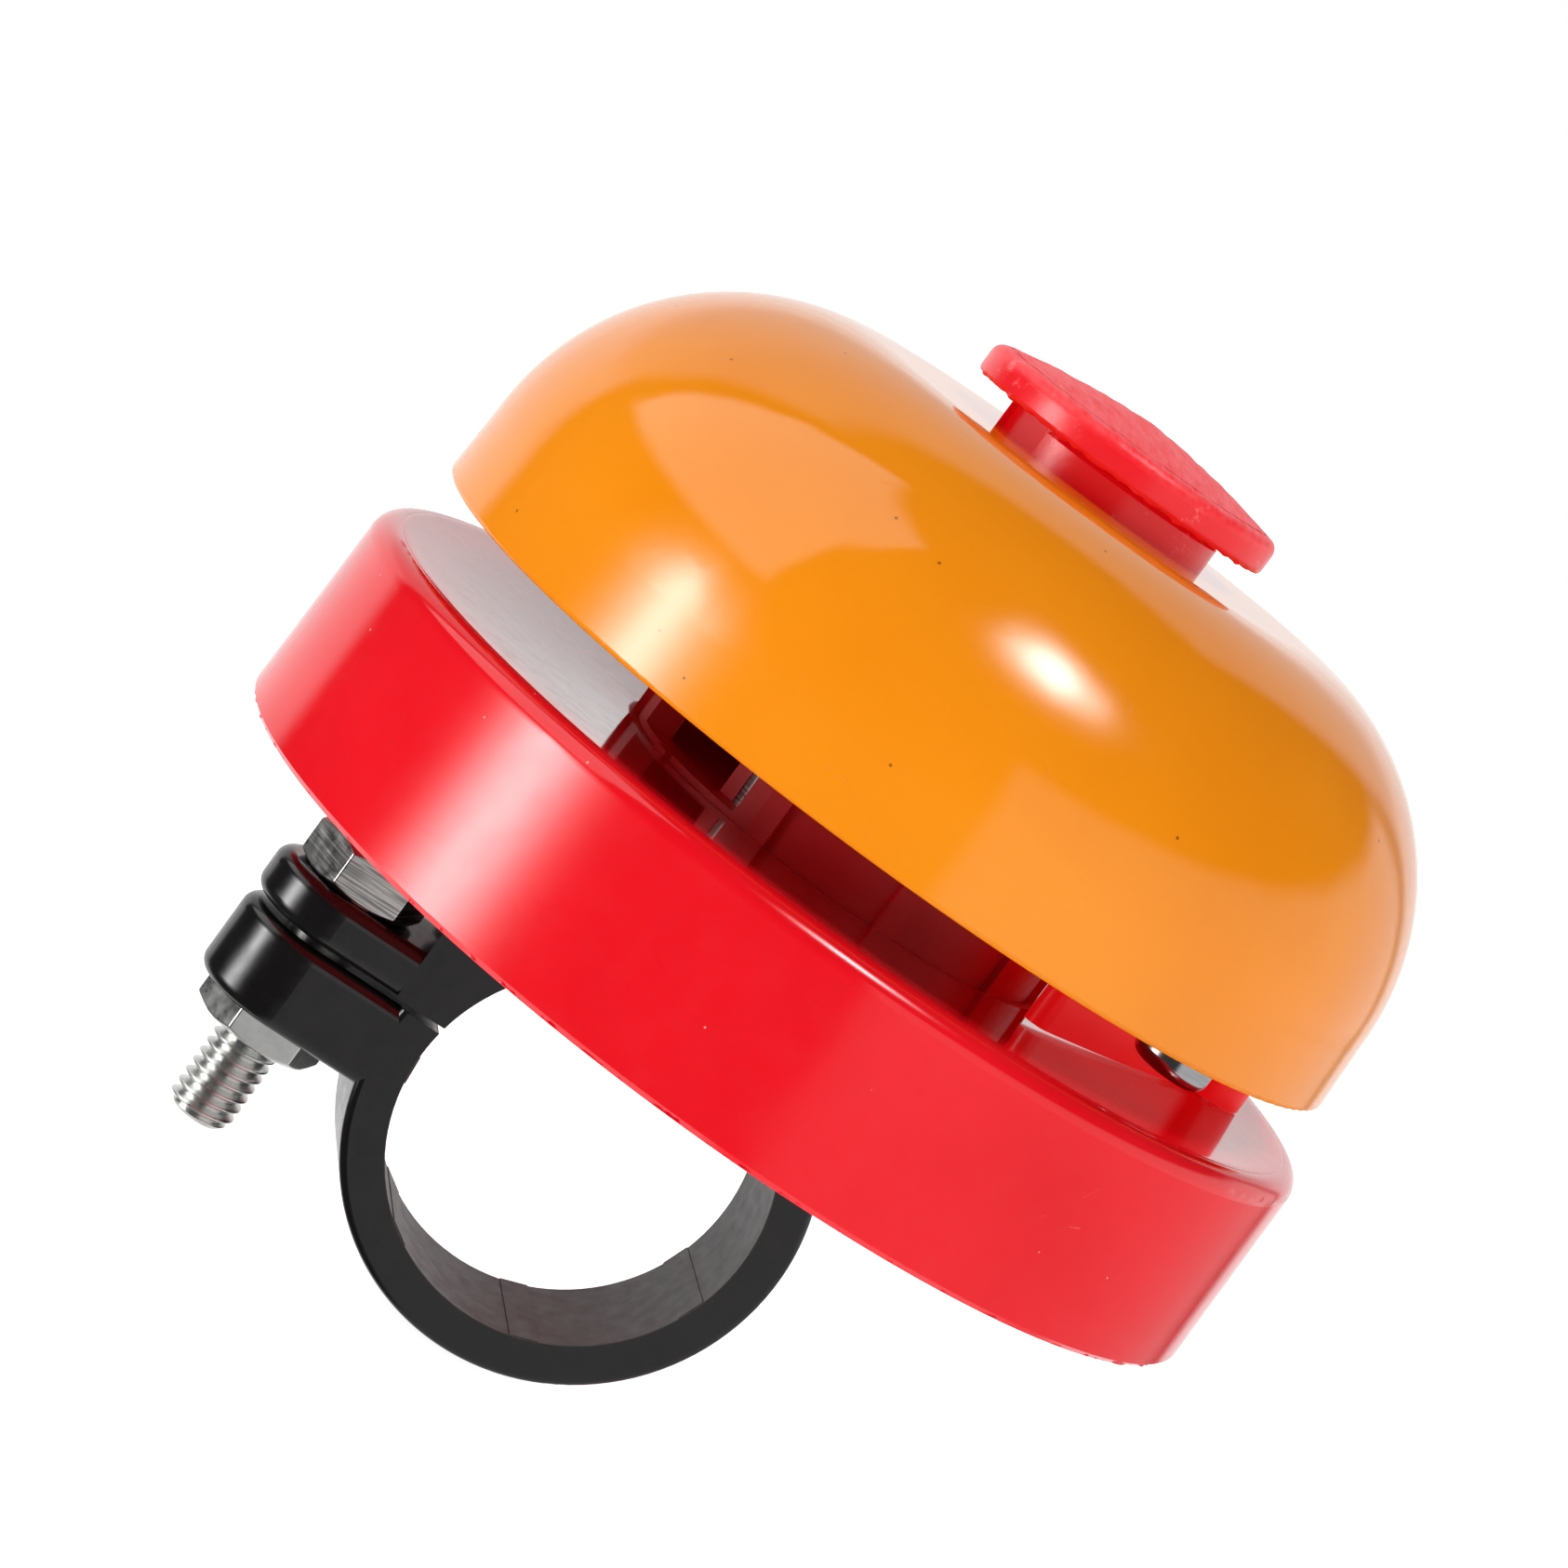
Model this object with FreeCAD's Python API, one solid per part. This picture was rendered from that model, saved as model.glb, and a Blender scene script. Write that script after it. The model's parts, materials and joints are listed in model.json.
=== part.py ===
import FreeCAD, Part

import math
import os

# Push-top bicycle bell on a one-piece split handlebar clamp.  Millimetres, +Z up.
# The origin is the centre of the clamp bore: the handlebar runs along Y, the clamp's ears and
# bolt are on the -X side and the bell stands above the bar, on its own axis parallel to Z.

V = FreeCAD.Vector

# ---- driving dimensions: clamp --------------------------------------------------------------
bar_radius = 11.1            # 22.2 mm handlebar
clamp_width = 9.0            # along the bar
band_thickness = 2.65        # wall of the split ring
pad_height = 0.09            # grip pads stand this far proud of the bore wall
pad_width = 1.7
pad_count = 7
ear_end = 4.95               # from the bolt's axis to the ears' outer end
split_height = 1.8           # middle of the split, above the bar's axis
split_gap = 0.4
upper_ear_thickness = 2.9
lower_ear_thickness = 5.2
jaw_right = 8.0              # from the bar's axis to the jaw's plain side
jaw_bolt_gap = 0.46          # the bolt head's corners to the jaw's other side
ear_edge_radius = 0.8
bolt_gap = 5.05              # the bolt's axis to the split ring
bolt_radius = 2.0            # M4
bolt_pitch = 0.7
bolt_length = 16.0
bolt_root_depth = 0.37
hex_across_flats = 7.0
bolt_head_height = 2.8
nut_height = 3.2
nut_pocket_depth = 1.5
threaded_length = 11.0
thread_crest = 0.12          # flat on top of each turned ridge
thread_root = 0.07           # flat at the bottom of each groove
band_edge_radius = 0.45

# ---- driving dimensions: screw between the clamp and the cup --------------------------------
base_screw_radius = 1.75
base_head_radius = 2.9
base_head_height = 2.2
base_head_depth = 5.0        # the head's seat lies this far above the bore
base_washer_radius = 3.2
base_washer_thickness = 0.5
base_boss_radius = 3.4
base_boss_height = 2.6
base_screw_end_gap = 0.4     # the screw's tip stops this far below the boss's top

# ---- driving dimensions: base cup -----------------------------------------------------------
bell_x = 1.8                 # bell axis from the clamp's centre
bell_y = -2.0
rim_clearance = 0.1          # the cup's lower edge clears the bar by this
cup_height = 12.3
cup_overhang = 2.17          # the cup's lower edge stands this far outside the dome's wall
cup_draft = 0.25             # the wall leans in by this towards the top
cup_wall = 2.0
cup_top_rounding = 1.2
lip_inner_rounding = 0.3
cup_foot_chamfer = 0.35
floor_rib_count = 8
floor_rib_width = 1.2
floor_rib_height = 2.2
floor_rib_start = 20.0       # from the bell's axis
pin_boss_depth = 2.8         # boss under the floor that holds the hammer's pin
pin_boss_skin = 0.4          # left under the pin's end
floor_depth = 1.3            # the middle of the floor lies this far below the lip
dish_start = 15.2            # the floor rises in a cone from this radius to the lip's rounding
floor_thickness = 2.0
key_wall = 1.2               # frame under the floor that holds the jaw square
key_height = 2.8

# ---- driving dimensions: mechanism housing --------------------------------------------------
housing_radius = 13.57
housing_wall = 1.8
roof_bottom = 14.2           # above the floor
roof_thickness = 2.0
rib_count = 10
rib_width = 1.3
rib_height = 0.45
rib_start_deg = -122.0
window_start_deg = -176.4
window_end_deg = -130.4
window_height = 8.0
window_sill = 0.4
tower_radius = 6.5
boss_height = 4.5
boss_radius = 2.0
boss_hole_skin = 0.6         # left above the screw's hole in a boss
boss_screw_gap = 1.0         # the screw's tip stops this far below the boss's top
boss_angles_deg = (90.0, 225.0, 320.0)
housing_screw_radius = 1.1
screw_head_radius = 2.1
screw_head_height = 1.4

# ---- driving dimensions: dome ---------------------------------------------------------------
dome_radius = 30.03          # where the wall stands upright
dome_flare = 0.22            # the rim is wider by this
dome_corner_radius = 15.8
dome_rim_height = 16.25      # above the cup's lower edge
dome_straight = 4.05         # height of the upright wall
dome_thickness = 1.0
dome_rim_rounding = 0.3
seat_washer_thickness = 0.6
seat_washer_radius = 6.4

# ---- driving dimensions: button and plunger -------------------------------------------------
thread_radius = 4.9          # threaded tube that carries the dome
ring_nut_radius = 7.07
ring_nut_height = 1.7
ring_nut_notch_width = 5.4
ring_nut_notch_depth = 1.0
ring_nut_notch_deg = -166.0
ring_nut_chamfer = 0.25
cap_radius = 9.72
cap_gap = 1.85               # button's lower edge above the dome
cap_height = 3.25
press_travel = 1.5
cap_recess_radius = 7.6
cap_rim_rounding = 0.35
cap_crown = ((1.0, 0.42), (0.985, 0.51), (0.935, 0.605), (0.82, 0.69), (0.67, 0.775), (0.48, 0.865),
             (0.28, 0.945), (0.12, 0.985), (0.0, 1.0))   # parts of the cap's radius and height
cap_stem_radius = 2.7
cap_stem_length = 5.6
rod_radius = 1.5
rod_socket_depth = 0.4       # the rod goes this far into the cap
spring_pocket_radius = 4.1
spring_pocket_depth = 6.8
guide_length = 2.6
clip_thickness = 0.8
clip_gap = 0.1               # the clip stops this far below the guide
clip_opening = 1.8
clip_radius = 3.0
clip_groove_depth = 0.3
spring_wire_radius = 0.25
spring_turns = 7
clip_cavity_radius = 3.8

# ---- driving dimensions: hammer -------------------------------------------------------------
pivot_deg = -4.95            # direction from the bell's axis
pivot_wall_gap = 3.53        # the pivot's axis to the dome's inner wall
elbow_deg = -48.3
elbow_wall_gap = 3.57        # the elbow's axis to the housing's wall
striker_deg = -49.45
strike_gap = 1.34            # the striker to the dome's inner wall, at rest
swing_deg = 4.0
web_bottom = 8.5             # above the floor
web_thickness = 1.5
apron_clearance = 0.4        # apron's lower edge above the floor
apron_thickness = 1.6
link_radius = 1.9            # half the width of the horizontal links
knuckle_radius = 2.3
pin_radius = 1.0
pin_head_radius = 2.2
pin_head_height = 0.8
striker_radius = 2.3
striker_height = 5.2
striker_shank_radius = 1.2
striker_rounding = 0.8       # of its lower edge
striker_top_rounding = 0.3
rivet_overhang = 0.6         # the riveted head is wider than the shank by this
rivet_height = 0.7
rivet_edge = 0.3             # upright part of that height
pin_head_rounding = 0.3
hammer_wire_radius = 0.2
hammer_spring_whole_turns = 3
hammer_spring_pitch = 0.48
hammer_spring_lift = 0.4     # the coil starts this far above the arm
hammer_spring_room = 0.35    # between the pin and the coil
hammer_spring_head_gap = 0.2
hammer_leg_length = 5.0      # the leg that lies along the arm
spring_peg_radius = 0.6
spring_peg_distance = 4.0    # from the pivot, along the arm
spring_peg_height = 1.2
spring_peg_gap = 0.32        # the peg to the leg, which the full swing just takes up
spring_rest_rib = 3          # the housing's rib that the other leg rests on
pad_half_width = 1.9
cam_tip_radius = 2.4
cam_hub_radius = 3.0
cam_below = 1.8              # the cam starts this far below the arm's upper face
cam_above = 0.2              # cone left above the arm at full press
cam_shoulder = 0.6
cam_hub_height = 1.6
hammer_slot_room = 2.0       # the housing's slot is wider than the tail by this on each side

# ---- clearances -----------------------------------------------------------------------------
running = 0.05               # shaft in its bore, radial
loose = 0.25                 # screw in a clearance hole, and faces that pass each other
overlap = 0.1                # how far shapes of one solid run into each other before they are fused

# ---- heights worked out from the values above (all from the bar's axis) ----------------------
bore_wall = bar_radius + pad_height
band_radius = bar_radius + band_thickness
bolt_offset = band_radius + bolt_gap
ear_reach = bolt_offset + ear_end
jaw_left = bolt_offset - hex_across_flats / math.sqrt(3) - jaw_bolt_gap
cup_radius = dome_radius + cup_overhang
cup_bottom = bar_radius + rim_clearance
lip_top = cup_bottom + cup_height
floor_top = lip_top - floor_depth
floor_bottom = floor_top - floor_thickness
roof_low = floor_top + roof_bottom
roof_high = roof_low + roof_thickness
dome_rim = cup_bottom + dome_rim_height
dome_top = dome_rim + dome_straight + dome_corner_radius
dome_inside = dome_top - dome_thickness
tower_top = dome_inside - seat_washer_thickness
tube_top = dome_top + ring_nut_height
cap_low = dome_top + cap_gap
cap_top = cap_low + cap_height
cap_ceiling = tube_top + press_travel + loose
pocket_floor = tube_top - spring_pocket_depth
guide_low = pocket_floor - guide_length
web_low = floor_top + web_bottom
web_high = web_low + web_thickness
base_head_seat = bar_radius + base_head_depth
upper_ear_low = split_height + split_gap / 2
upper_ear_high = upper_ear_low + upper_ear_thickness
lower_ear_high = split_height - split_gap / 2
lower_ear_low = lower_ear_high - lower_ear_thickness
dome_inner_radius = dome_radius - dome_thickness
pin_low = floor_bottom - pin_boss_depth + pin_boss_skin
clip_high = guide_low - clip_gap
clip_low = clip_high - clip_thickness
rod_top = cap_ceiling + rod_socket_depth
BELL = V(bell_x, bell_y, 0)
BOLT = V(-bolt_offset, 0, 0)


def polar(radius, angle_deg):
    """Plan point at a distance and direction from the axis."""
    angle = math.radians(angle_deg)
    return (radius * math.cos(angle), radius * math.sin(angle))


pivot_point = polar(dome_inner_radius - pivot_wall_gap, pivot_deg)
elbow_point = polar(housing_radius + elbow_wall_gap, elbow_deg)
striker_point = polar(dome_inner_radius - strike_gap - striker_radius, striker_deg)


def cylinder(radius, low, high, x=0.0, y=0.0):
    """Upright cylinder between two heights."""
    return Part.makeCylinder(radius, high - low, V(x, y, low))


def ring(outer, inner, low, high, x=0.0, y=0.0):
    """Upright tube between two heights."""
    return cylinder(outer, low, high, x, y).cut(cylinder(inner, low - 1, high + 1, x, y))


def block(x0, x1, y0, y1, z0, z1):
    """Box between two corners."""
    return Part.makeBox(x1 - x0, y1 - y0, z1 - z0, V(x0, y0, z0))


def hexagon(across_flats, low, high, x=0.0, y=0.0):
    """Upright hexagonal prism with two corners on the X axis."""
    corner = across_flats / math.sqrt(3)
    angles = [math.radians(60 * k) for k in range(6)]
    points = [V(x + corner * math.cos(a), y + corner * math.sin(a), low) for a in angles]
    outline = Part.makePolygon(points + points[:1])
    return Part.Face(outline).extrude(V(0, 0, high - low))


def chamfered_hexagon(across_flats, low, high, x, y, top, bottom):
    """Hexagonal prism whose corners are turned off to a 30 degree cone at either end."""
    corner = across_flats / math.sqrt(3)
    flat = across_flats / 2
    drop = (corner - flat) * math.tan(math.radians(30))
    outline = [(0, low), (flat if bottom else corner, low), (corner, low + (drop if bottom else 0))]
    outline += [(corner, high - (drop if top else 0)), (flat if top else corner, high), (0, high)]
    points = []
    for radius, height in outline:
        point = V(radius, 0, height)
        if not points or point.distanceToPoint(points[-1]) > 1e-6:
            points.append(point)
    turned = Part.Face(Part.makePolygon(points + points[:1])).revolve(V(0, 0, 0), V(0, 0, 1), 360)
    turned.translate(V(x, y, 0))
    return hexagon(across_flats, low, high, x, y).common(turned)


def revolve(edges):
    """Solid of revolution about Z from the closed outline of edges in the XZ plane."""
    outline = Part.Wire(Part.__sortEdges__(edges))
    return Part.Face(outline).revolve(V(0, 0, 0), V(0, 0, 1), 360)


def line(start, end):
    """Straight edge in the XZ plane between two (radius, height) points."""
    return Part.makeLine(V(start[0], 0, start[1]), V(end[0], 0, end[1]))


def arc(start, middle, end):
    """Round edge in the XZ plane through three (radius, height) points."""
    return Part.Arc(*[V(r, 0, z) for r, z in (start, middle, end)]).toShape()


def quarter(centre, radius, start_deg, end_deg):
    """Arc about a (radius, height) centre, as its three points."""
    angles = (start_deg, (start_deg + end_deg) / 2, end_deg)
    return [(centre[0] + radius * math.cos(math.radians(a)),
             centre[1] + radius * math.sin(math.radians(a))) for a in angles]


def sector(radius, start_deg, end_deg, low, high):
    """Upright wedge about the bell's axis between two angles."""
    wedge = Part.makeCylinder(radius, high - low, V(0, 0, low), V(0, 0, 1), end_deg - start_deg)
    wedge.rotate(V(0, 0, 0), V(0, 0, 1), start_deg)
    return wedge


def link(start, end, radius, low, high):
    """Flat bar with round ends between two plan points."""
    dx = end[0] - start[0]
    dy = end[1] - start[1]
    bar = block(0, math.hypot(dx, dy), -radius, radius, low, high)
    bar.rotate(V(0, 0, 0), V(0, 0, 1), math.degrees(math.atan2(dy, dx)))
    bar.translate(V(start[0], start[1], 0))
    bar = bar.fuse(cylinder(radius, low, high, *start))
    return bar.fuse(cylinder(radius, low, high, *end)).removeSplitter()


def coil(mean_radius, wire_radius, low, height, turns, start_deg=0.0):
    """Helical wire between two heights; the wire's centre line starts and ends at them."""
    path = Part.makeHelix(height / turns, height, mean_radius)
    circle = Part.makeCircle(wire_radius, V(mean_radius, 0, 0), V(0, 1, 0))
    wire = Part.Wire(path).makePipeShell([Part.Wire(circle)], True, True)
    wire.rotate(V(0, 0, 0), V(0, 0, 1), start_deg)
    wire.translate(V(0, 0, low))
    return wire


def screw(head_radius, head_height, shank_radius, head_low, tip, x, y):
    """Pan-head screw pointing up: the head below, a short point at the tip."""
    head_high = head_low + head_height
    point = 0.6 * shank_radius
    rounding = 0.5 * head_height
    curve = quarter((head_radius - rounding, head_low + rounding), rounding, -90, 0)
    edges = [line((0, head_low), curve[0]), arc(*curve), line(curve[2], (head_radius, head_high)),
             line((head_radius, head_high), (shank_radius, head_high)),
             line((shank_radius, head_high), (shank_radius, tip - point)),
             line((shank_radius, tip - point), (0.4 * shank_radius, tip)),
             line((0.4 * shank_radius, tip), (0, tip)), line((0, tip), (0, head_low))]
    body = revolve(edges)
    slot_depth = 0.5 * head_height
    slot_width = 0.22 * head_radius
    slot_reach = 0.6 * head_radius
    for turn in (0, 90):
        slot = block(-slot_reach, slot_reach, -slot_width, slot_width, head_low - 1, head_low + slot_depth)
        slot.rotate(V(0, 0, 0), V(0, 0, 1), turn)
        body = body.cut(slot)
    body.translate(V(x, y, 0))
    return body


def on_bell(shape):
    """Moves a shape that was drawn about the Z axis onto the bell's axis."""
    shape.translate(BELL)
    return shape


# ---- clamp ----------------------------------------------------------------------------------
def bar_space(radius, length):
    """Cylinder along the bar's axis."""
    return Part.makeCylinder(radius, length, V(0, -length / 2, 0), V(0, 1, 0))


def ear(low, high):
    """One clamp ear: a tongue with a round end and soft edges."""
    half = clamp_width / 2
    end_centre = -ear_reach + half
    tongue = block(end_centre, -bar_radius * 0.6, -half, half, low, high)
    tongue = tongue.fuse(cylinder(half, low, high, end_centre, 0)).removeSplitter()
    soft = []
    for edge in tongue.Edges:
        box = edge.BoundBox
        flat = box.ZLength < 1e-6
        reaches_end = box.XMax < -bar_radius * 0.6 + 1e-6 and box.XMin < -bar_radius * 0.6 - 1e-3
        if flat and reaches_end:
            soft.append(edge)
    return tongue.makeFillet(min(ear_edge_radius, 0.4 * (high - low)), soft)


def build_clamp_band():
    """Split ring, two ears and the jaw that carries the bell, moulded in one piece."""
    half = clamp_width / 2
    band = bar_space(band_radius, clamp_width)
    rim_edges = [edge for edge in band.Edges if edge.BoundBox.YLength < 1e-6]
    band = band.makeFillet(band_edge_radius, rim_edges)
    jaw = block(-jaw_left, jaw_right, -half, half, upper_ear_low, floor_bottom)
    band = band.fuse(jaw).fuse(ear(upper_ear_low, upper_ear_high)).fuse(ear(lower_ear_low, lower_ear_high))
    band = band.cut(bar_space(bore_wall, clamp_width + 2))
    for k in range(pad_count):
        pad = block(bar_radius, bore_wall + 0.5, -half, half, -pad_width / 2, pad_width / 2)
        pad.rotate(V(0, 0, 0), V(0, 1, 0), 360.0 * (k + 0.4) / pad_count)
        band = band.fuse(pad.common(bar_space(bore_wall + 0.5, clamp_width)))
    band = band.cut(bar_space(bar_radius, clamp_width + 2))
    band = band.cut(block(-ear_reach - 1, -bar_radius * 0.8, -half - 1, half + 1,
                          lower_ear_high, upper_ear_low))
    band = band.cut(cylinder(bolt_radius + loose, lower_ear_low - 1, upper_ear_high + 1, -bolt_offset, 0))
    pocket = hexagon(hex_across_flats + 2 * running, lower_ear_low - 1, lower_ear_low + nut_pocket_depth,
                     -bolt_offset, 0)
    band = band.cut(pocket)
    band = band.cut(cylinder(base_washer_radius + loose, 0, base_head_seat))
    band = band.cut(cylinder(base_screw_radius + loose, 0, floor_bottom + 1))
    return band.cut(screw_head_room()).removeSplitter()


def build_clamp_bolt():
    """Hex-head bolt, head on the upper ear; the thread is drawn as turned grooves."""
    tip = upper_ear_high - bolt_length
    root = bolt_radius - bolt_root_depth
    neck = upper_ear_high + overlap
    outline = [(0, neck), (bolt_radius, neck)]
    height = tip + threaded_length
    outline.append((bolt_radius, height))
    while height - bolt_pitch > tip + 0.4 * bolt_pitch:
        outline.append((root, height - (bolt_pitch - thread_root) / 2))
        outline.append((root, height - (bolt_pitch + thread_root) / 2))
        height -= bolt_pitch
        outline.append((bolt_radius, height + thread_crest / 2))
        outline.append((bolt_radius, height - thread_crest / 2))
    outline.append((root, tip))
    outline.append((0, tip))
    points = [V(r, 0, z) for r, z in outline]
    shank = Part.Face(Part.makePolygon(points + points[:1])).revolve(V(0, 0, 0), V(0, 0, 1), 360)
    shank.translate(BOLT)
    head = chamfered_hexagon(hex_across_flats, upper_ear_high, upper_ear_high + bolt_head_height,
                             -bolt_offset, 0, True, True)
    return head.fuse(shank).removeSplitter()


def build_clamp_nut():
    """Hex nut held in the lower ear's pocket."""
    high = lower_ear_low + nut_pocket_depth
    low = high - nut_height
    nut = chamfered_hexagon(hex_across_flats, low, high, -bolt_offset, 0, False, True)
    return nut.cut(cylinder(bolt_radius + running, low - 1, high + 1, -bolt_offset, 0))


# ---- screw between the clamp and the cup ----------------------------------------------------
def build_base_washer():
    """Washer between the screw's head and the seat in the jaw."""
    low = base_head_seat - base_washer_thickness
    return ring(base_washer_radius, base_screw_radius + running, low, base_head_seat)


def build_base_screw():
    """Screw that goes up through the jaw into the cup's floor."""
    head_high = base_head_seat - base_washer_thickness
    tip = floor_top + base_boss_height - base_screw_end_gap
    head_low = head_high - base_head_height
    return screw(base_head_radius, base_head_height, base_screw_radius, head_low, tip, 0, 0)


# ---- base cup -------------------------------------------------------------------------------
def lip_inside():
    """Radius inside the cup's lip."""
    return cup_radius - cup_draft - cup_wall


def above_floor(gap, height):
    """Round space whose lower face follows the dished floor, a gap above it."""
    rise = lip_top - lip_inner_rounding - floor_top
    edge = dish_start + (lip_inside() - dish_start) * (height - floor_top - gap) / rise
    low = floor_top + gap
    return revolve([line((0, low), (dish_start, low)), line((dish_start, low), (edge, height)),
                    line((edge, height), (0, height)), line((0, height), (0, low))])


def boss_centres():
    """Plan points of the housing's screw bosses, from the bell's axis."""
    reach = housing_radius - housing_wall - 0.7 * boss_radius
    return [polar(reach, angle) for angle in boss_angles_deg]


def screw_head_room():
    """Space that the heads of the housing's screws need under the floor."""
    low = floor_bottom - screw_head_height - loose
    rooms = [cylinder(screw_head_radius + loose, low, floor_bottom, x, y) for x, y in boss_centres()]
    return on_bell(Part.makeCompound(rooms))


def build_base_cup():
    """Drum open at the bottom, with a dished floor below its lip, a key frame, ribs and bosses."""
    top_radius = cup_radius - cup_draft
    inner = lip_inside()
    shoulder = quarter((top_radius - cup_top_rounding, lip_top - cup_top_rounding), cup_top_rounding, 0, 90)
    inner_round = quarter((inner + lip_inner_rounding, lip_top - lip_inner_rounding), lip_inner_rounding,
                          90, 180)
    foot = cup_foot_chamfer
    edges = [line((cup_radius - cup_wall, cup_bottom), (cup_radius - foot, cup_bottom)),
             line((cup_radius - foot, cup_bottom), (cup_radius, cup_bottom + foot)),
             line((cup_radius, cup_bottom + foot), shoulder[0]), arc(*shoulder),
             line(shoulder[2], inner_round[0]), arc(*inner_round),
             line(inner_round[2], (dish_start, floor_top)), line((dish_start, floor_top), (0, floor_top)),
             line((0, floor_top), (0, floor_bottom)), line((0, floor_bottom), (inner, floor_bottom)),
             line((inner, floor_bottom), (cup_radius - cup_wall, cup_bottom))]
    cup = revolve(edges)
    rib_low = floor_bottom - floor_rib_height
    half_rib = floor_rib_width / 2
    for k in range(floor_rib_count):
        rib = block(floor_rib_start, inner + overlap, -half_rib, half_rib, rib_low, floor_bottom + overlap)
        rib.rotate(V(0, 0, 0), V(0, 0, 1), 360.0 / floor_rib_count * (k + 0.5))
        cup = cup.fuse(rib)
    cup = cup.fuse(cylinder(knuckle_radius, floor_bottom - pin_boss_depth, floor_bottom + overlap,
                            *pivot_point))
    cup = cup.cut(cylinder(pin_radius, pin_low, lip_top, *pivot_point))
    cup = on_bell(cup)
    half = clamp_width / 2 + running
    frame = block(-jaw_left - running - key_wall, jaw_right + running + key_wall, -half - key_wall,
                  half + key_wall, floor_bottom - key_height, floor_bottom + overlap)
    frame = frame.cut(block(-jaw_left - running, jaw_right + running, -half, half,
                            floor_bottom - key_height - 1, floor_bottom)).cut(screw_head_room())
    cup = cup.fuse(frame).fuse(cylinder(base_boss_radius, floor_top - overlap, floor_top + base_boss_height))
    holes = [cylinder(housing_screw_radius + loose, floor_bottom - key_height - 1, floor_top + 1, x, y)
             for x, y in boss_centres()]
    cup = cup.cut(on_bell(Part.makeCompound(holes)))
    cup = cup.cut(cylinder(base_screw_radius, floor_bottom - 1, floor_top + base_boss_height + 1))
    return cup.removeSplitter()


# ---- mechanism housing ----------------------------------------------------------------------
def build_mechanism_housing():
    """Round housing with outside ribs and two windows, a roof, and the tube that holds the dome."""
    inner = housing_radius - housing_wall
    body = ring(housing_radius, inner, floor_top, roof_low + overlap)
    body = body.fuse(cylinder(housing_radius, roof_low, roof_high))
    body = body.fuse(cylinder(tower_radius, roof_high - overlap, tower_top))
    body = body.fuse(cylinder(thread_radius, tower_top - overlap, tube_top))
    for k in range(rib_count):
        angle = rib_start_deg + 360.0 / rib_count * k
        rib = block(inner + 2 * overlap, housing_radius + rib_height, -rib_width / 2, rib_width / 2,
                    floor_top, roof_high)
        rib.rotate(V(0, 0, 0), V(0, 0, 1), angle)
        body = body.fuse(rib)
    for x, y in boss_centres():
        body = body.fuse(cylinder(boss_radius, floor_top, floor_top + boss_height, x, y))
    body = body.cut(cylinder(spring_pocket_radius, pocket_floor, tube_top + 1))
    body = body.cut(cylinder(rod_radius + running, guide_low - 1, pocket_floor + 1))
    body = body.cut(cylinder(clip_cavity_radius, roof_low - 1, guide_low))
    for x, y in boss_centres():
        hole_high = floor_top + boss_height - boss_hole_skin
        body = body.cut(cylinder(housing_screw_radius + running, floor_top - 1, hole_high, x, y))
    window_low = floor_top + window_sill
    reach = housing_radius + rib_height + 1
    window = sector(reach, window_start_deg, window_end_deg, window_low, window_low + window_height)
    body = body.cut(window.cut(cylinder(inner - 0.5, window_low - 1, window_low + window_height + 1)))
    slot = link(tail_point(), elbow_point, link_radius + hammer_slot_room, web_low - 0.5, web_high + 0.5)
    body = body.cut(slot.cut(cylinder(inner - 0.5, web_low - 1, web_high + 1)))
    return on_bell(body.removeSplitter())


def build_housing_screws():
    """Screws up through the floor into the housing's bosses."""
    head_low = floor_bottom - screw_head_height
    tip = floor_top + boss_height - boss_screw_gap
    screws = [screw(screw_head_radius, screw_head_height, housing_screw_radius, head_low, tip, x, y)
              for x, y in boss_centres()]
    return on_bell(Part.makeCompound(screws))


# ---- dome, seat washer and ring nut ---------------------------------------------------------
def dome_outline(offset):
    """Edges of the dome's section from the crown to the rim, moved inwards by offset."""
    radius = dome_corner_radius - offset
    centre = (dome_radius - dome_corner_radius, dome_rim + dome_straight)
    corner = quarter(centre, radius, 90, 0)
    rim_point = (dome_radius + dome_flare - offset, dome_rim)
    return corner, rim_point


def build_bell_dome():
    """Spun steel dome: flat crown, round shoulder, upright wall with a slight flare."""
    hole = thread_radius + loose
    outer, outer_rim = dome_outline(0)
    inner, inner_rim = dome_outline(dome_thickness)
    edges = [line((hole, dome_top), outer[0]), arc(*outer), line(outer[2], outer_rim),
             line(outer_rim, inner_rim), line(inner_rim, inner[2]), arc(*inner),
             line(inner[0], (hole, dome_inside)), line((hole, dome_inside), (hole, dome_top))]
    dome = revolve(edges)
    rim_edges = [edge for edge in dome.Edges if edge.BoundBox.ZMax < dome_rim + 1e-6]
    return on_bell(dome.makeFillet(dome_rim_rounding, rim_edges))


def build_seat_washer():
    """Soft washer between the tower's shoulder and the dome."""
    return on_bell(ring(seat_washer_radius, thread_radius + running, tower_top, dome_inside))


def build_ring_nut():
    """Round nut with two spanner notches that holds the dome down."""
    nut = ring(ring_nut_radius, thread_radius + running, dome_top, tube_top)
    outer_edges = [e for e in nut.Edges if e.BoundBox.XMax > thread_radius + 1
                   and e.BoundBox.ZMin > tube_top - 1e-6]
    nut = nut.makeChamfer(ring_nut_chamfer, outer_edges)
    reach = ring_nut_radius - ring_nut_notch_depth
    half = ring_nut_notch_width / 2
    for turn in (0, 180):
        notch = block(reach, ring_nut_radius + 1, -half, half, dome_top - 1, tube_top + 1)
        notch.rotate(V(0, 0, 0), V(0, 0, 1), ring_nut_notch_deg + turn)
        nut = nut.cut(notch)
    return on_bell(nut)


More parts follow.
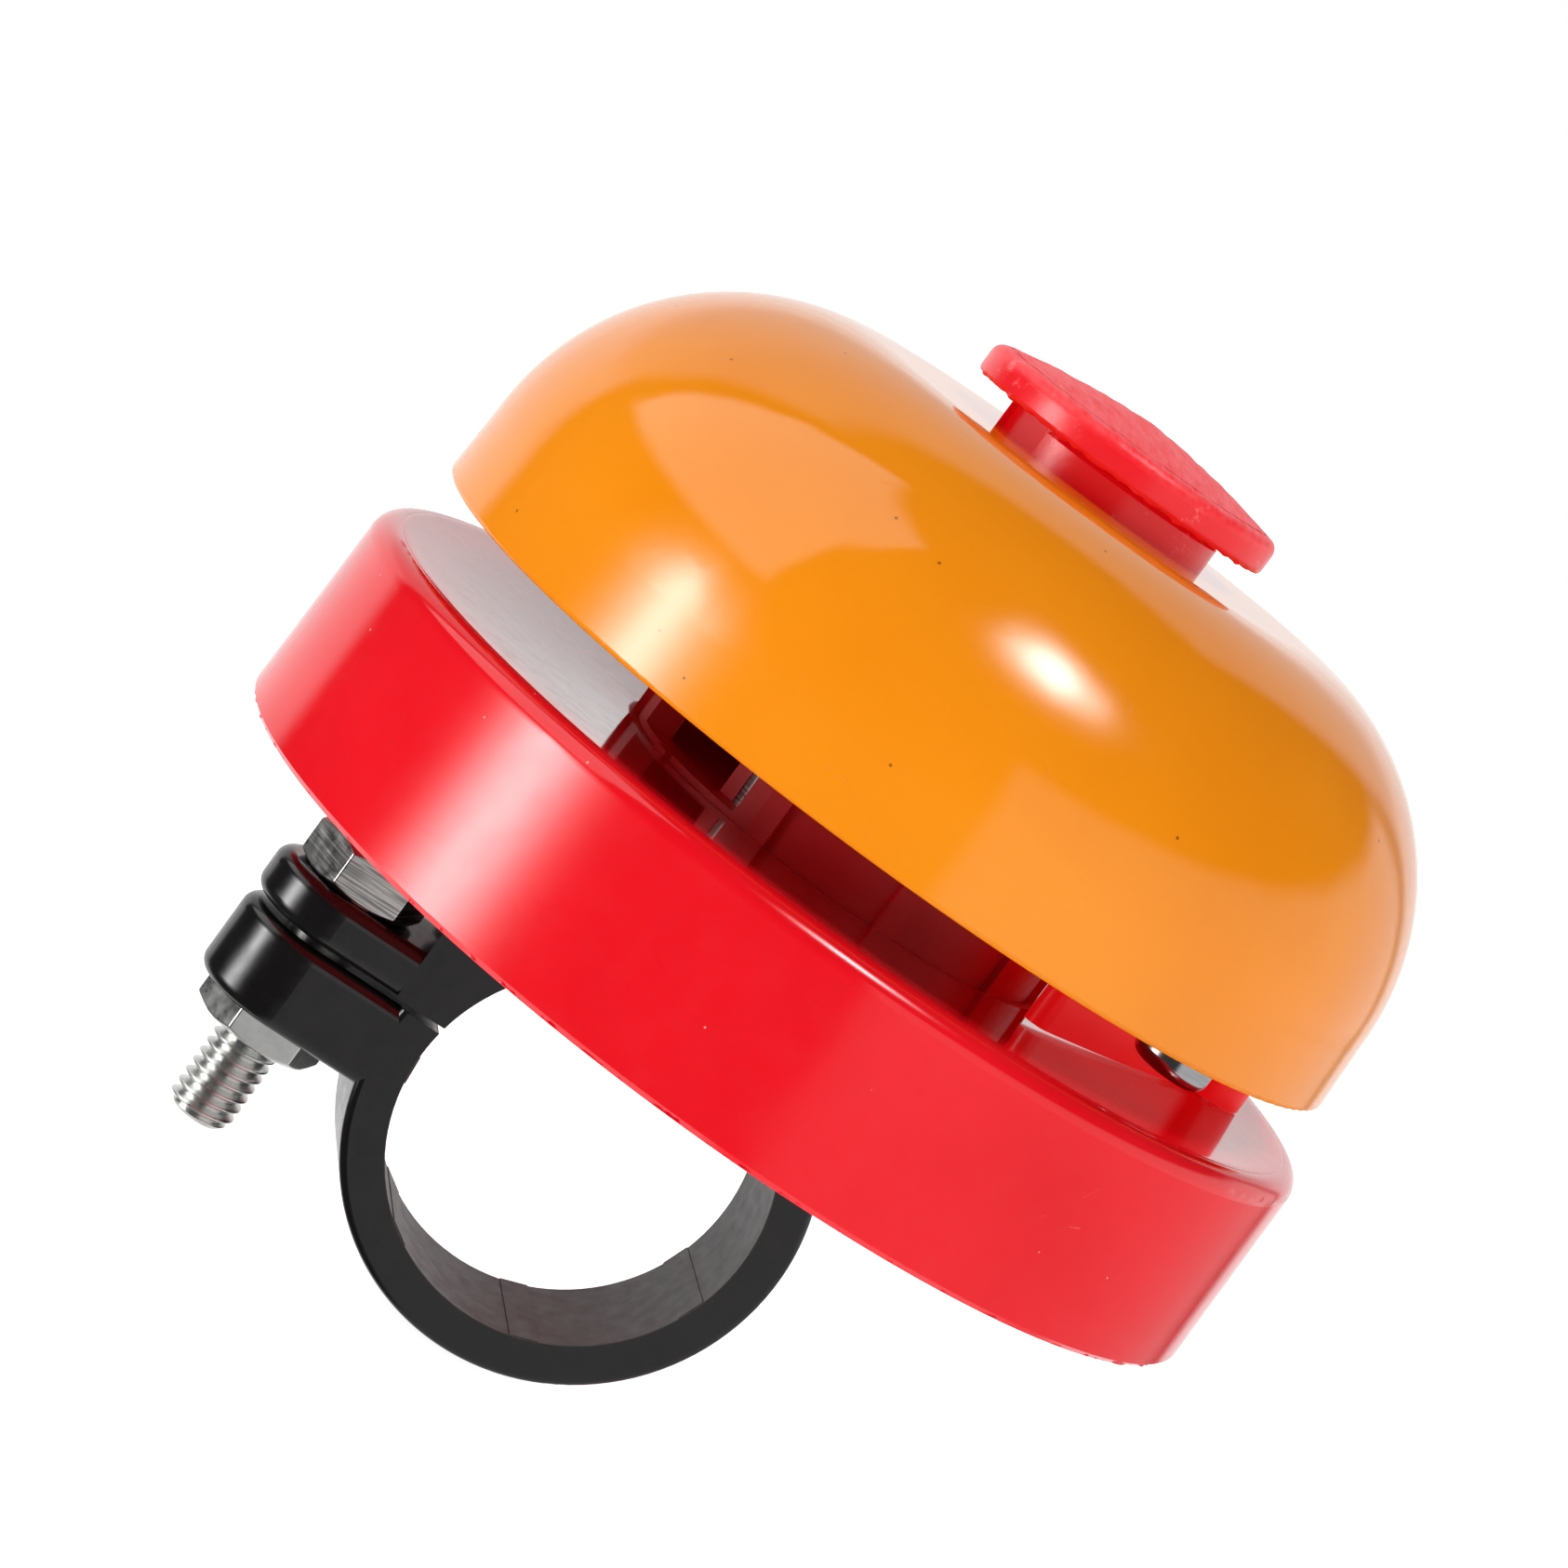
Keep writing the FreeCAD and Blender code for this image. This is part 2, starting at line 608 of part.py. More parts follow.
# ---- button and plunger ---------------------------------------------------------------------
def build_button_cap():
    """Mushroom button: low cone on top, round rim, recess and stem below."""
    lower = quarter((cap_radius - cap_rim_rounding, cap_low + cap_rim_rounding), cap_rim_rounding, -90, 0)
    points = [V(cap_radius * r, 0, cap_low + cap_height * h) for r, h in cap_crown]
    side_top = points[0].z
    crown = Part.BSplineCurve()
    crown.interpolate(points, InitialTangent=V(0, 0, 1), FinalTangent=V(-1, 0, 0))
    stem_low = cap_ceiling - cap_stem_length
    edges = [line((cap_recess_radius, cap_low), lower[0]), arc(*lower),
             line(lower[2], (cap_radius, side_top)),
             crown.toShape(), line((0, cap_top), (0, rod_top)), line((0, rod_top), (rod_radius, rod_top)),
             line((rod_radius, rod_top), (rod_radius, stem_low)),
             line((rod_radius, stem_low), (cap_stem_radius, stem_low)),
             line((cap_stem_radius, stem_low), (cap_stem_radius, cap_ceiling)),
             line((cap_stem_radius, cap_ceiling), (cap_recess_radius, cap_ceiling)),
             line((cap_recess_radius, cap_ceiling), (cap_recess_radius, cap_low))]
    return on_bell(revolve(edges))


def build_plunger_rod():
    """Steel rod from the button down to the cam, with the clip's groove."""
    rod = cylinder(rod_radius, cam_low(), rod_top)
    groove = ring(rod_radius + 1, rod_radius - clip_groove_depth, clip_low, clip_high)
    return on_bell(rod.cut(groove))


def build_plunger_clip():
    """Clip that stops the rod at the top of its travel; open on one side."""
    half = clip_opening / 2
    clip = ring(clip_radius, rod_radius - clip_groove_depth + 0.02, clip_low, clip_high)
    return on_bell(clip.cut(block(0, clip_radius + 1, -half, half, clip_low - 1, clip_high + 1)))


def pivot_to_tail():
    """Distance along X from the hammer's pivot to its tail, which turns the press into swing."""
    return pivot_point[0]


def cam_slope():
    """Radius gained per millimetre of height, so the full press gives the full swing."""
    return pivot_to_tail() * math.radians(swing_deg) / press_travel


def cam_low():
    """Lower end of the cam at rest."""
    return web_high - cam_below


def cam_radius_at(height):
    """Radius of the resting cam at a height."""
    return cam_tip_radius + (height - cam_low()) * cam_slope()


def build_plunger_cam():
    """Upturned cone on the rod: going down, it pushes the hammer's tail outwards."""
    cone_high = web_high + press_travel + cam_above
    shoulder_high = cone_high + cam_shoulder
    widest = cam_radius_at(cone_high)
    hub_high = cone_high + cam_hub_height
    edges = [line((rod_radius, cam_low()), (cam_tip_radius, cam_low())),
             line((cam_tip_radius, cam_low()), (widest, cone_high)),
             line((widest, cone_high), (widest, shoulder_high)),
             line((widest, shoulder_high), (cam_hub_radius, hub_high)),
             line((cam_hub_radius, hub_high), (rod_radius, hub_high)),
             line((rod_radius, hub_high), (rod_radius, cam_low()))]
    return on_bell(revolve(edges))


def build_button_spring():
    """Compression spring between the pocket's floor and the button."""
    low = pocket_floor + spring_wire_radius + 0.02
    high = cap_ceiling - spring_wire_radius - 0.02
    mean = (cap_stem_radius + spring_pocket_radius) / 2
    return on_bell(coil(mean, spring_wire_radius, low, high - low, spring_turns))


# ---- hammer ---------------------------------------------------------------------------------
def tail_point():
    """Plan centre of the tail's round end, beside the cam, towards -Y."""
    return (0.0, -(cam_radius_at(web_high) + loose + pad_half_width))


def arm_direction():
    """Unit vector in plan from the pivot to the elbow."""
    dx = elbow_point[0] - pivot_point[0]
    dy = elbow_point[1] - pivot_point[1]
    length = math.hypot(dx, dy)
    return (dx / length, dy / length)


def spring_coil_radius():
    """Radius of the hammer spring's wire centre."""
    return pin_radius + hammer_spring_room + hammer_wire_radius


def spring_end_angles():
    """Directions, from the pivot, at which the spring's coil starts (below) and ends (above).

    Below, the leg leaves along the arm.  Above, it leaves towards a rib on the housing.
    """
    ux, uy = arm_direction()
    start = math.degrees(math.atan2(uy, ux)) + 90
    rib_deg = rib_start_deg + 360.0 / rib_count * spring_rest_rib
    beside = rib_width / 2 + hammer_wire_radius + 2 * running
    rest_x, rest_y = polar(housing_radius + rib_height, rib_deg)
    rest_x -= beside * math.sin(math.radians(rib_deg))
    rest_y += beside * math.cos(math.radians(rib_deg))
    dx = rest_x - pivot_point[0]
    dy = rest_y - pivot_point[1]
    mean = spring_coil_radius()
    straight = math.sqrt(dx * dx + dy * dy - mean * mean)
    end = math.degrees(math.atan2(dy, dx) - math.atan2(straight, mean))
    return start, start + (end - start) % 360 + 360 * hammer_spring_whole_turns, straight


def hammer_spring_span():
    """Lower and upper height of the hammer spring's coil."""
    start, end, _ = spring_end_angles()
    low = web_high + hammer_spring_lift
    return low, low + (end - start) / 360 * hammer_spring_pitch + 2 * hammer_wire_radius


def build_hammer_arm():
    """Knuckle, hanging apron that follows the floor, and flat links to the striker and to the cam."""
    apron_low = floor_top + apron_clearance
    arm = link(pivot_point, elbow_point, link_radius, web_low, web_high)
    arm = arm.fuse(link(elbow_point, striker_point, link_radius, web_low, web_high))
    arm = arm.fuse(link(elbow_point, tail_point(), pad_half_width, web_low, web_high))
    arm = arm.fuse(link(pivot_point, elbow_point, apron_thickness / 2, apron_low, web_low + overlap))
    arm = arm.fuse(cylinder(knuckle_radius, apron_low, web_high, *pivot_point))
    arm = arm.common(above_floor(apron_clearance, web_high))
    ux, uy = arm_direction()
    side = spring_coil_radius() - hammer_wire_radius - spring_peg_gap - spring_peg_radius
    peg_x = pivot_point[0] + ux * spring_peg_distance - uy * side
    peg_y = pivot_point[1] + uy * spring_peg_distance + ux * side
    peg_high = web_high + spring_peg_height
    arm = arm.fuse(cylinder(spring_peg_radius, web_high - overlap, peg_high, peg_x, peg_y))
    arm = arm.cut(cylinder(pin_radius + running, apron_low - 1, web_high + 1, *pivot_point))
    arm = arm.cut(cylinder(striker_shank_radius, web_low - 1, web_high + 1, *striker_point))
    return on_bell(arm.removeSplitter())


def build_striker():
    """Steel slug under the arm's end, with a riveted shank."""
    high = web_low
    low = high - striker_height
    lower = quarter((striker_radius - striker_rounding, low + striker_rounding), striker_rounding, -90, 0)
    upper = quarter((striker_radius - striker_top_rounding, high - striker_top_rounding),
                    striker_top_rounding, 0, 90)
    head_low = web_high
    head_high = head_low + rivet_height
    head_radius = striker_shank_radius + rivet_overhang
    edges = [line((0, low), lower[0]), arc(*lower), line(lower[2], upper[0]), arc(*upper),
             line(upper[2], (striker_shank_radius, high)),
             line((striker_shank_radius, high), (striker_shank_radius, head_low)),
             line((striker_shank_radius, head_low), (head_radius, head_low)),
             line((head_radius, head_low), (head_radius, head_low + rivet_edge)),
             line((head_radius, head_low + rivet_edge), (0.6 * head_radius, head_high)),
             line((0.6 * head_radius, head_high), (0, head_high)), line((0, head_high), (0, low))]
    slug = revolve(edges)
    slug.translate(V(striker_point[0], striker_point[1], 0))
    return on_bell(slug)


def build_hammer_pin():
    """Pivot pin pressed into the cup's floor, with a head above the hammer's spring."""
    head_low = hammer_spring_span()[1] + hammer_spring_head_gap
    head_high = head_low + pin_head_height
    pin = cylinder(pin_radius, pin_low, head_low + overlap, *pivot_point)
    head = cylinder(pin_head_radius, head_low, head_high, *pivot_point)
    head = head.makeFillet(pin_head_rounding, [e for e in head.Edges if e.BoundBox.ZMin > head_high - 1e-6])
    return on_bell(pin.fuse(head).removeSplitter())


def build_hammer_spring():
    """Torsion spring about the pin: one leg along the arm, one to a rib of the housing.

    The wire is one sweep along a straight leg, the coil and the other leg, each tangent to the next.
    """
    low, high = hammer_spring_span()
    low += hammer_wire_radius
    high -= hammer_wire_radius
    start, end, straight = spring_end_angles()
    mean = spring_coil_radius()
    pitch = 360 * (high - low) / (end - start)
    helix = Part.makeHelix(pitch, high - low, mean)
    helix.rotate(V(0, 0, 0), V(0, 0, 1), start)
    helix.translate(V(0, 0, low))
    rise = pitch / (2 * math.pi * mean)
    ends = []
    for angle, height in ((start, low), (end, high)):
        x, y = polar(mean, angle)
        along = V(-y / mean, x / mean, rise)
        along.normalize()
        ends.append((V(x, y, height), along))
    lead = ends[0][0] - ends[0][1] * hammer_leg_length
    tail = ends[1][0] + ends[1][1] * straight
    edges = [Part.makeLine(lead, ends[0][0])] + helix.Edges + [Part.makeLine(ends[1][0], tail)]
    section = Part.Wire(Part.makeCircle(hammer_wire_radius, lead, ends[0][1]))
    wire = Part.Wire(Part.__sortEdges__(edges)).makePipeShell([section], True, True)
    wire.translate(V(pivot_point[0], pivot_point[1], 0))
    return on_bell(wire)


def main():
    """Writes one STEP file per piece."""
    os.makedirs("parts", exist_ok=True)
    pieces = {
        "clamp_band": build_clamp_band(),
        "clamp_bolt": build_clamp_bolt(),
        "clamp_nut": build_clamp_nut(),
        "base_screw": build_base_screw(),
        "base_washer": build_base_washer(),
        "base_cup": build_base_cup(),
        "mechanism_housing": build_mechanism_housing(),
        "housing_screws": build_housing_screws(),
        "bell_dome": build_bell_dome(),
        "dome_seat_washer": build_seat_washer(),
        "dome_ring_nut": build_ring_nut(),
        "button_cap": build_button_cap(),
        "plunger_rod": build_plunger_rod(),
        "plunger_clip": build_plunger_clip(),
        "plunger_cam": build_plunger_cam(),
        "button_spring": build_button_spring(),
        "hammer_arm": build_hammer_arm(),
        "striker": build_striker(),
        "hammer_pin": build_hammer_pin(),
        "hammer_spring": build_hammer_spring(),
    }
    for name, shape in pieces.items():
        shape.exportStep("parts/" + name + ".step")
        print(name, len(shape.Solids), shape.isValid(), round(shape.Volume, 2))


main()
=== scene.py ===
import json
import math

import bpy
import numpy as np
from mathutils import Matrix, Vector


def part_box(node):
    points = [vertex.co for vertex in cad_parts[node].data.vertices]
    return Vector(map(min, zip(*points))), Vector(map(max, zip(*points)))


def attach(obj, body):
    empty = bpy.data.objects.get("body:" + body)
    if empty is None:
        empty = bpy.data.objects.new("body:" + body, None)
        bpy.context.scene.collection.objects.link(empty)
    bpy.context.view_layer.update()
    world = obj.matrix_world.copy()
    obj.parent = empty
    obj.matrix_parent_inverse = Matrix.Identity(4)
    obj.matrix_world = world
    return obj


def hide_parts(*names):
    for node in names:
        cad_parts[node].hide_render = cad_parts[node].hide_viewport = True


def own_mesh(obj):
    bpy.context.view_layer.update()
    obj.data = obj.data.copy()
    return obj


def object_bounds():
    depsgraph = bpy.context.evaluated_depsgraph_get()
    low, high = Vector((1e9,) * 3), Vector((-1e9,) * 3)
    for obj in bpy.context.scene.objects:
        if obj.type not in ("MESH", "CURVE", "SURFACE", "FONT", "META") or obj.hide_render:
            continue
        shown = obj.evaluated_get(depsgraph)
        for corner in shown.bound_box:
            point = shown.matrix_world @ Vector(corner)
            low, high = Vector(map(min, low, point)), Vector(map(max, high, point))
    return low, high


# Push-top bicycle bell: lacquered dome, moulded drum base, sprung button and a split handlebar clamp.
# The CAD bodies are the frame; the pieces made here are surfaces of two parameters in the same frame.

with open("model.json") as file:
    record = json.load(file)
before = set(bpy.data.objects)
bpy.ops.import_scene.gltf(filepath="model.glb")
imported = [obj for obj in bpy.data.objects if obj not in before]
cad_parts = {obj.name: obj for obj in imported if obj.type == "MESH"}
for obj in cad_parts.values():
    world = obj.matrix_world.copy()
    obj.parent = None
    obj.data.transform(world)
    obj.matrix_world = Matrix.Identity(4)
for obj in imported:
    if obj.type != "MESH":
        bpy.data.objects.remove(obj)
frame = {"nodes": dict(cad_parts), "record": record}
cad_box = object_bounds()

MM = 0.001
TURN = 2 * math.pi


# ---- sizes read from the frame, in millimetres ------------------------------------------------
def extent(node):
    """Lowest and highest corner of a CAD node, in millimetres."""
    low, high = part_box(node)
    return np.array(low) / MM, np.array(high) / MM


def width_of(node):
    """Half the width of a CAD node across X: the radius of a round one."""
    low, high = extent(node)
    return (high[0] - low[0]) / 2


def axis_of(node):
    """Plan centre of a round CAD node."""
    low, high = extent(node)
    return (low[:2] + high[:2]) / 2


BELL = axis_of("bell_dome")
BOLT = axis_of("clamp_bolt")
HOUSING_EDGE = 14.2          # the housing's ribs end inside this radius
BORE_EDGE = 11.22            # what is nearer the bar's axis than this is the clamp's bore
LIP_HEIGHT = 12.3            # of the drum, above its foot
FLOOR_DEPTH = 1.3            # of the drum's floor, below its lip
HEAD_HEIGHT = 2.8            # of the clamp's bolt
RIM_HEIGHT = 3.25            # of the button's cap, from its lower edge to its crown
ACROSS_FLATS = 7.0
BOLT_RADIUS = 2.0
THREAD_LENGTH = 11.4
THREAD_PITCH = 0.7
THREAD_ROOT = 0.42           # depth of the thread
SPRING_WIRE_RADIUS = 0.25
SPRING_TURNS = 8.0


# ---- camera ------------------------------------------------------------------------------------
def add_camera():
    """Long lens from the front left, a little above, rolled so that the bell leans to the right."""
    back = np.array((-0.2469, -0.9588, 0.1405))
    back /= np.linalg.norm(back)
    level = np.cross(-back, (0, 0, 1))
    level /= np.linalg.norm(level)
    upright = np.cross(level, -back)
    roll = math.radians(36.43)
    right = math.cos(roll) * level + math.sin(roll) * upright
    up = np.cross(back, right)
    data = bpy.data.cameras.new("camera")
    data.lens = 109.71
    data.sensor_width = 36.0
    data.clip_start = 0.01
    data.clip_end = 20.0
    camera = bpy.data.objects.new("camera", data)
    place = np.eye(4)
    place[:3, 0], place[:3, 1], place[:3, 2] = right, up, back
    place[:3, 3] = np.array((-69.35, -259.72, 61.69)) * MM
    camera.matrix_world = Matrix(place)
    bpy.context.scene.collection.objects.link(camera)
    bpy.context.scene.camera = camera


# ---- colours and nodes -------------------------------------------------------------------------
def linear(code):
    """Linear RGBA of an sRGB hex colour."""
    values = [int(code[k:k + 2], 16) / 255 for k in (0, 2, 4)]
    return [v / 12.92 if v <= 0.04045 else ((v + 0.055) / 1.055) ** 2.4 for v in values] + [1.0]


def node(tree, kind, output=0, **settings):
    """Adds a shader node and gives one of its outputs. A setting that starts with a capital is a socket
    (with _ for a space), in3 is the input number 3, and any other is a property. An output given to a
    socket is linked to it, and six letters are a hex colour."""
    made = tree.nodes.new("ShaderNode" + kind)
    for name, value in settings.items():
        numbered = name[:2] == "in" and name[2:].isdigit()
        if not (name[0].isupper() or numbered):
            setattr(made, name, value)
            continue
        socket = made.inputs[int(name[2:]) if numbered else name.replace("_", " ")]
        if isinstance(value, bpy.types.NodeSocket):
            tree.links.new(value, socket)
        else:
            socket.default_value = linear(value) if isinstance(value, str) else value
    return made.outputs[output] if made.outputs else made


def new_material(name):
    """Material with an empty tree, and the piece's own coordinates."""
    made = bpy.data.materials.new(name)
    made.use_nodes = True
    tree = made.node_tree
    tree.nodes.clear()
    return made, tree, node(tree, "TexCoord", "Object")


def specks(tree, place, spacing, size, share):
    """1 on round specks of about size mm, in a share of the cells that lie spacing mm apart."""
    cells = node(tree, "TexVoronoi", Vector=place, Scale=1 / (spacing * MM), Randomness=1.0).node.outputs
    near = node(tree, "Math", operation="LESS_THAN", in0=cells["Distance"], in1=size / spacing / 2)
    chosen = node(tree, "Math", operation="LESS_THAN", in0=cells["Color"], in1=share)
    return node(tree, "Math", operation="MULTIPLY", in0=near, in1=chosen)


def scratches(tree, place, reach, width, rarity):
    """1 on curved hairlines about reach mm long and width mm wide: the level lines of one cloudy
    pattern, kept where a second pattern is above rarity."""
    drift = node(tree, "TexNoise", "Fac", Vector=place, Scale=1 / (reach * MM), Detail=1.0)
    from_line = node(tree, "Math", operation="SUBTRACT", in0=drift, in1=0.5)
    from_line = node(tree, "Math", operation="ABSOLUTE", in0=from_line)
    on_line = node(tree, "Math", operation="LESS_THAN", in0=from_line, in1=width / reach / 2)
    patch = node(tree, "TexNoise", "Fac", Vector=place, Scale=1.7 / (reach * MM), Detail=3.0)
    worn = node(tree, "Math", operation="GREATER_THAN", in0=patch, in1=rarity)
    return node(tree, "Math", operation="MULTIPLY", in0=on_line, in1=worn)


def reach_from(tree, place, centre):
    """Distance in metres from an upright axis at a plan point in mm."""
    moved = node(tree, "Mapping", Vector=place, Location=(-centre[0] * MM, -centre[1] * MM, 0))
    flat = node(tree, "Mapping", Vector=moved, Scale=(1, 1, 0))
    return node(tree, "VectorMath", "Value", in0=flat, operation="LENGTH")


# ---- materials ---------------------------------------------------------------------------------
def lacquered_steel():
    """Spun steel under sprayed orange lacquer: a deep, wet gloss with faint orange peel, a little
    uneven colour, dust caught in the film and hairline handling marks."""
    made, tree, place = new_material("lacquered_steel")
    cloudy = node(tree, "TexNoise", "Fac", Vector=place, Scale=1 / (18 * MM), Detail=2.0)
    tint = node(tree, "MapRange", Value=cloudy, From_Min=0.35, From_Max=0.65)
    colour = node(tree, "Mix", 2, data_type="RGBA", in0=tint, in6="E2820C", in7="E88912")
    dust = specks(tree, place, 2.2, 0.2, 0.42)
    seen = node(tree, "Math", operation="MULTIPLY", in0=dust, in1=0.85)
    colour = node(tree, "Mix", 2, data_type="RGBA", in0=seen, in6=colour, in7="8A4A08")
    lines = scratches(tree, place, 4.0, 0.03, 0.64)
    gloss = node(tree, "MapRange", Value=lines, To_Min=0.07, To_Max=0.25)
    peel = node(tree, "TexNoise", "Fac", Vector=place, Scale=1 / (1.6 * MM), Detail=1.0)
    bumped = node(tree, "Bump", Height=peel, Distance=0.004 * MM)
    bumped = node(tree, "Bump", Height=dust, Distance=0.02 * MM, Normal=bumped)
    bumped = node(tree, "Bump", Height=lines, Distance=0.003 * MM, invert=True, Normal=bumped)
    shader = node(tree, "BsdfPrincipled", Base_Color=colour, Roughness=gloss, Normal=bumped, IOR=1.5)
    node(tree, "OutputMaterial", Surface=shader)
    return made


def polished_abs():
    """Red ABS from a polished mould: bright gloss with slight flow lines, pale dust and hairlines. The
    mechanism's housing, round the bell's axis, comes from a matt part of the mould."""
    made, tree, place = new_material("polished_abs")
    cloudy = node(tree, "TexNoise", "Fac", Vector=place, Scale=1 / (14 * MM), Detail=2.0)
    tint = node(tree, "MapRange", Value=cloudy, From_Min=0.35, From_Max=0.65)
    colour = node(tree, "Mix", 2, data_type="RGBA", in0=tint, in6="D60A18", in7="DE101E")
    dust = specks(tree, place, 1.5, 0.13, 0.4)
    seen = node(tree, "Math", operation="MULTIPLY", in0=dust, in1=0.7)
    colour = node(tree, "Mix", 2, data_type="RGBA", in0=seen, in6=colour, in7="FFB0A8")
    lines = scratches(tree, place, 9.0, 0.04, 0.6)
    worn = node(tree, "TexNoise", "Fac", Vector=place, Scale=1 / (1.2 * MM), Detail=4.0, Roughness=0.65)
    gloss = node(tree, "MapRange", Value=worn, From_Min=0.4, From_Max=0.8, To_Min=0.08, To_Max=0.16)
    inside = node(tree, "MapRange", Value=reach_from(tree, place, BELL), From_Min=HOUSING_EDGE * MM,
                  From_Max=(HOUSING_EDGE + 0.2) * MM, To_Min=0.4, To_Max=0.0)
    gloss = node(tree, "Math", operation="ADD", in0=gloss, in1=inside)
    along = node(tree, "Mapping", Vector=place, Scale=(1, 1, 0.35))
    flow = node(tree, "TexNoise", "Fac", Vector=along, Scale=1 / (3.0 * MM), Detail=2.0)
    bumped = node(tree, "Bump", Height=flow, Distance=0.004 * MM)
    bumped = node(tree, "Bump", Height=dust, Distance=0.03 * MM, Normal=bumped)
    bumped = node(tree, "Bump", Height=lines, Distance=0.006 * MM, invert=True, Normal=bumped)
    shader = node(tree, "BsdfPrincipled", Base_Color=colour, Roughness=gloss, Normal=bumped, IOR=1.5)
    node(tree, "OutputMaterial", Surface=shader)
    return made


def clear_red_arm():
    """Thin red plastic that light comes through, with cloudy flow marks. The low emission is a painted glow
    that keeps the arm a flat, pure red even in the shade under the dome; it stands for light gathered
    inside the plastic."""
    made, tree, place = new_material("clear_red_arm")
    flow = node(tree, "TexNoise", "Fac", Vector=place, Scale=1 / (4 * MM), Detail=2.0)
    tint = node(tree, "MapRange", Value=flow, From_Min=0.35, From_Max=0.65)
    colour = node(tree, "Mix", 2, data_type="RGBA", in0=tint, in6="F01018", in7="FA1A22")
    bumped = node(tree, "Bump", Height=flow, Distance=0.01 * MM)
    # The emission is a painted glow that lights the arm in the dome's shade.
    shader = node(tree, "BsdfPrincipled", Base_Color=colour, Roughness=0.3, Normal=bumped, IOR=1.5,
                  Subsurface_Weight=1.0, Subsurface_Radius=(1.0, 0.06, 0.06), Subsurface_Scale=4 * MM,
                  Emission_Color="FF1018", Emission_Strength=0.3)
    node(tree, "OutputMaterial", Surface=shader)
    return made


def rubbed_button():
    """Clear red plastic of the button and of the nut under it: satin sides, frosted rubs, and a crown
    frosted by thumbs into fine pleats. The low emission is a painted glow over the button and the nut,
    standing for light gathered inside."""
    made, tree, place = new_material("rubbed_button")
    top = extent("button_cap")[1][2]
    height = node(tree, "SeparateXYZ", "Z", Vector=place)
    crown = node(tree, "MapRange", Value=height, From_Min=(top - 2.1) * MM, From_Max=(top - 1.2) * MM)
    along = node(tree, "Mapping", Vector=place, Scale=(1.0, 0.22, 1.0))
    pleats = node(tree, "TexNoise", "Fac", Vector=along, Scale=1 / (0.5 * MM), Detail=4.0, Roughness=0.65)
    frost = node(tree, "MapRange", Value=pleats, From_Min=0.35, From_Max=0.7, To_Min=0.05, To_Max=0.42)
    frost = node(tree, "Math", operation="MULTIPLY", in0=crown, in1=frost)
    patches = node(tree, "TexNoise", "Fac", Vector=place, Scale=1 / (2.6 * MM), Detail=5.0, Roughness=0.75)
    rubs = node(tree, "MapRange", Value=patches, From_Min=0.6, From_Max=0.68, To_Max=0.5)
    frost = node(tree, "Math", operation="MAXIMUM", in0=frost, in1=rubs)
    colour = node(tree, "Mix", 2, data_type="RGBA", in0=frost, in6="EA0C1E", in7="FF9298")
    gloss = node(tree, "MapRange", Value=crown, To_Min=0.26, To_Max=0.5)
    cut = node(tree, "Math", operation="MULTIPLY", in0=pleats, in1=crown)
    grain = node(tree, "TexNoise", "Fac", Vector=place, Scale=1 / (0.35 * MM), Detail=2.0)
    bumped = node(tree, "Bump", Height=cut, Distance=0.1 * MM)
    bumped = node(tree, "Bump", Height=grain, Distance=0.008 * MM, Normal=bumped)
    # The emission is a painted glow that brightens the button and the nut in the cap's shade.
    shader = node(tree, "BsdfPrincipled", Base_Color=colour, Roughness=gloss, Normal=bumped, IOR=1.5,
                  Emission_Color="FF1018", Emission_Strength=0.12)
    node(tree, "OutputMaterial", Surface=shader)
    return made


def moulded_nylon():
    """Black nylon from a spark-eroded mould: satin outside, dull grey where it grips the bar."""
    made, tree, place = new_material("moulded_nylon")
    flat = node(tree, "Mapping", Vector=place, Scale=(1, 0, 1))
    reach = node(tree, "VectorMath", "Value", in0=flat, operation="LENGTH")
    bore = node(tree, "MapRange", Value=reach, From_Min=BORE_EDGE * MM, From_Max=(BORE_EDGE + 0.05) * MM,
                To_Min=1.0, To_Max=0.0)
    along = node(tree, "Mapping", Vector=place, Scale=(1, 0.15, 1))
    streaks = node(tree, "TexNoise", "Fac", Vector=along, Scale=1 / (0.7 * MM), Detail=4.0, Roughness=0.6)
    streaks = node(tree, "MapRange", Value=streaks, From_Min=0.3, From_Max=0.7)
    grey = node(tree, "Mix", 2, data_type="RGBA", in0=streaks, in6="262524", in7="383634")
    cloudy = node(tree, "TexNoise", "Fac", Vector=place, Scale=1 / (5 * MM), Detail=3.0)
    black = node(tree, "Mix", 2, data_type="RGBA", in0=cloudy, in6="0C0C0D", in7="131314")
    colour = node(tree, "Mix", 2, data_type="RGBA", in0=bore, in6=black, in7=grey)
    worn = node(tree, "TexNoise", "Fac", Vector=place, Scale=1 / (0.9 * MM), Detail=4.0)
    gloss = node(tree, "MapRange", Value=worn, From_Min=0.3, From_Max=0.8, To_Min=0.16, To_Max=0.27)
    dull = node(tree, "MapRange", Value=bore, To_Max=0.25)
    gloss = node(tree, "Math", operation="ADD", in0=gloss, in1=dull)
    fine = node(tree, "TexNoise", "Fac", Vector=place, Scale=1 / (0.3 * MM), Detail=2.0)
    swell = node(tree, "TexNoise", "Fac", Vector=place, Scale=1 / (2.6 * MM), Detail=1.0)
    bumped = node(tree, "Bump", Height=fine, Distance=0.0015 * MM)
    bumped = node(tree, "Bump", Height=swell, Distance=0.03 * MM, Normal=bumped)
    shader = node(tree, "BsdfPrincipled", Base_Color=colour, Roughness=gloss, Normal=bumped, IOR=1.53)
    node(tree, "OutputMaterial", Surface=shader)
    return made


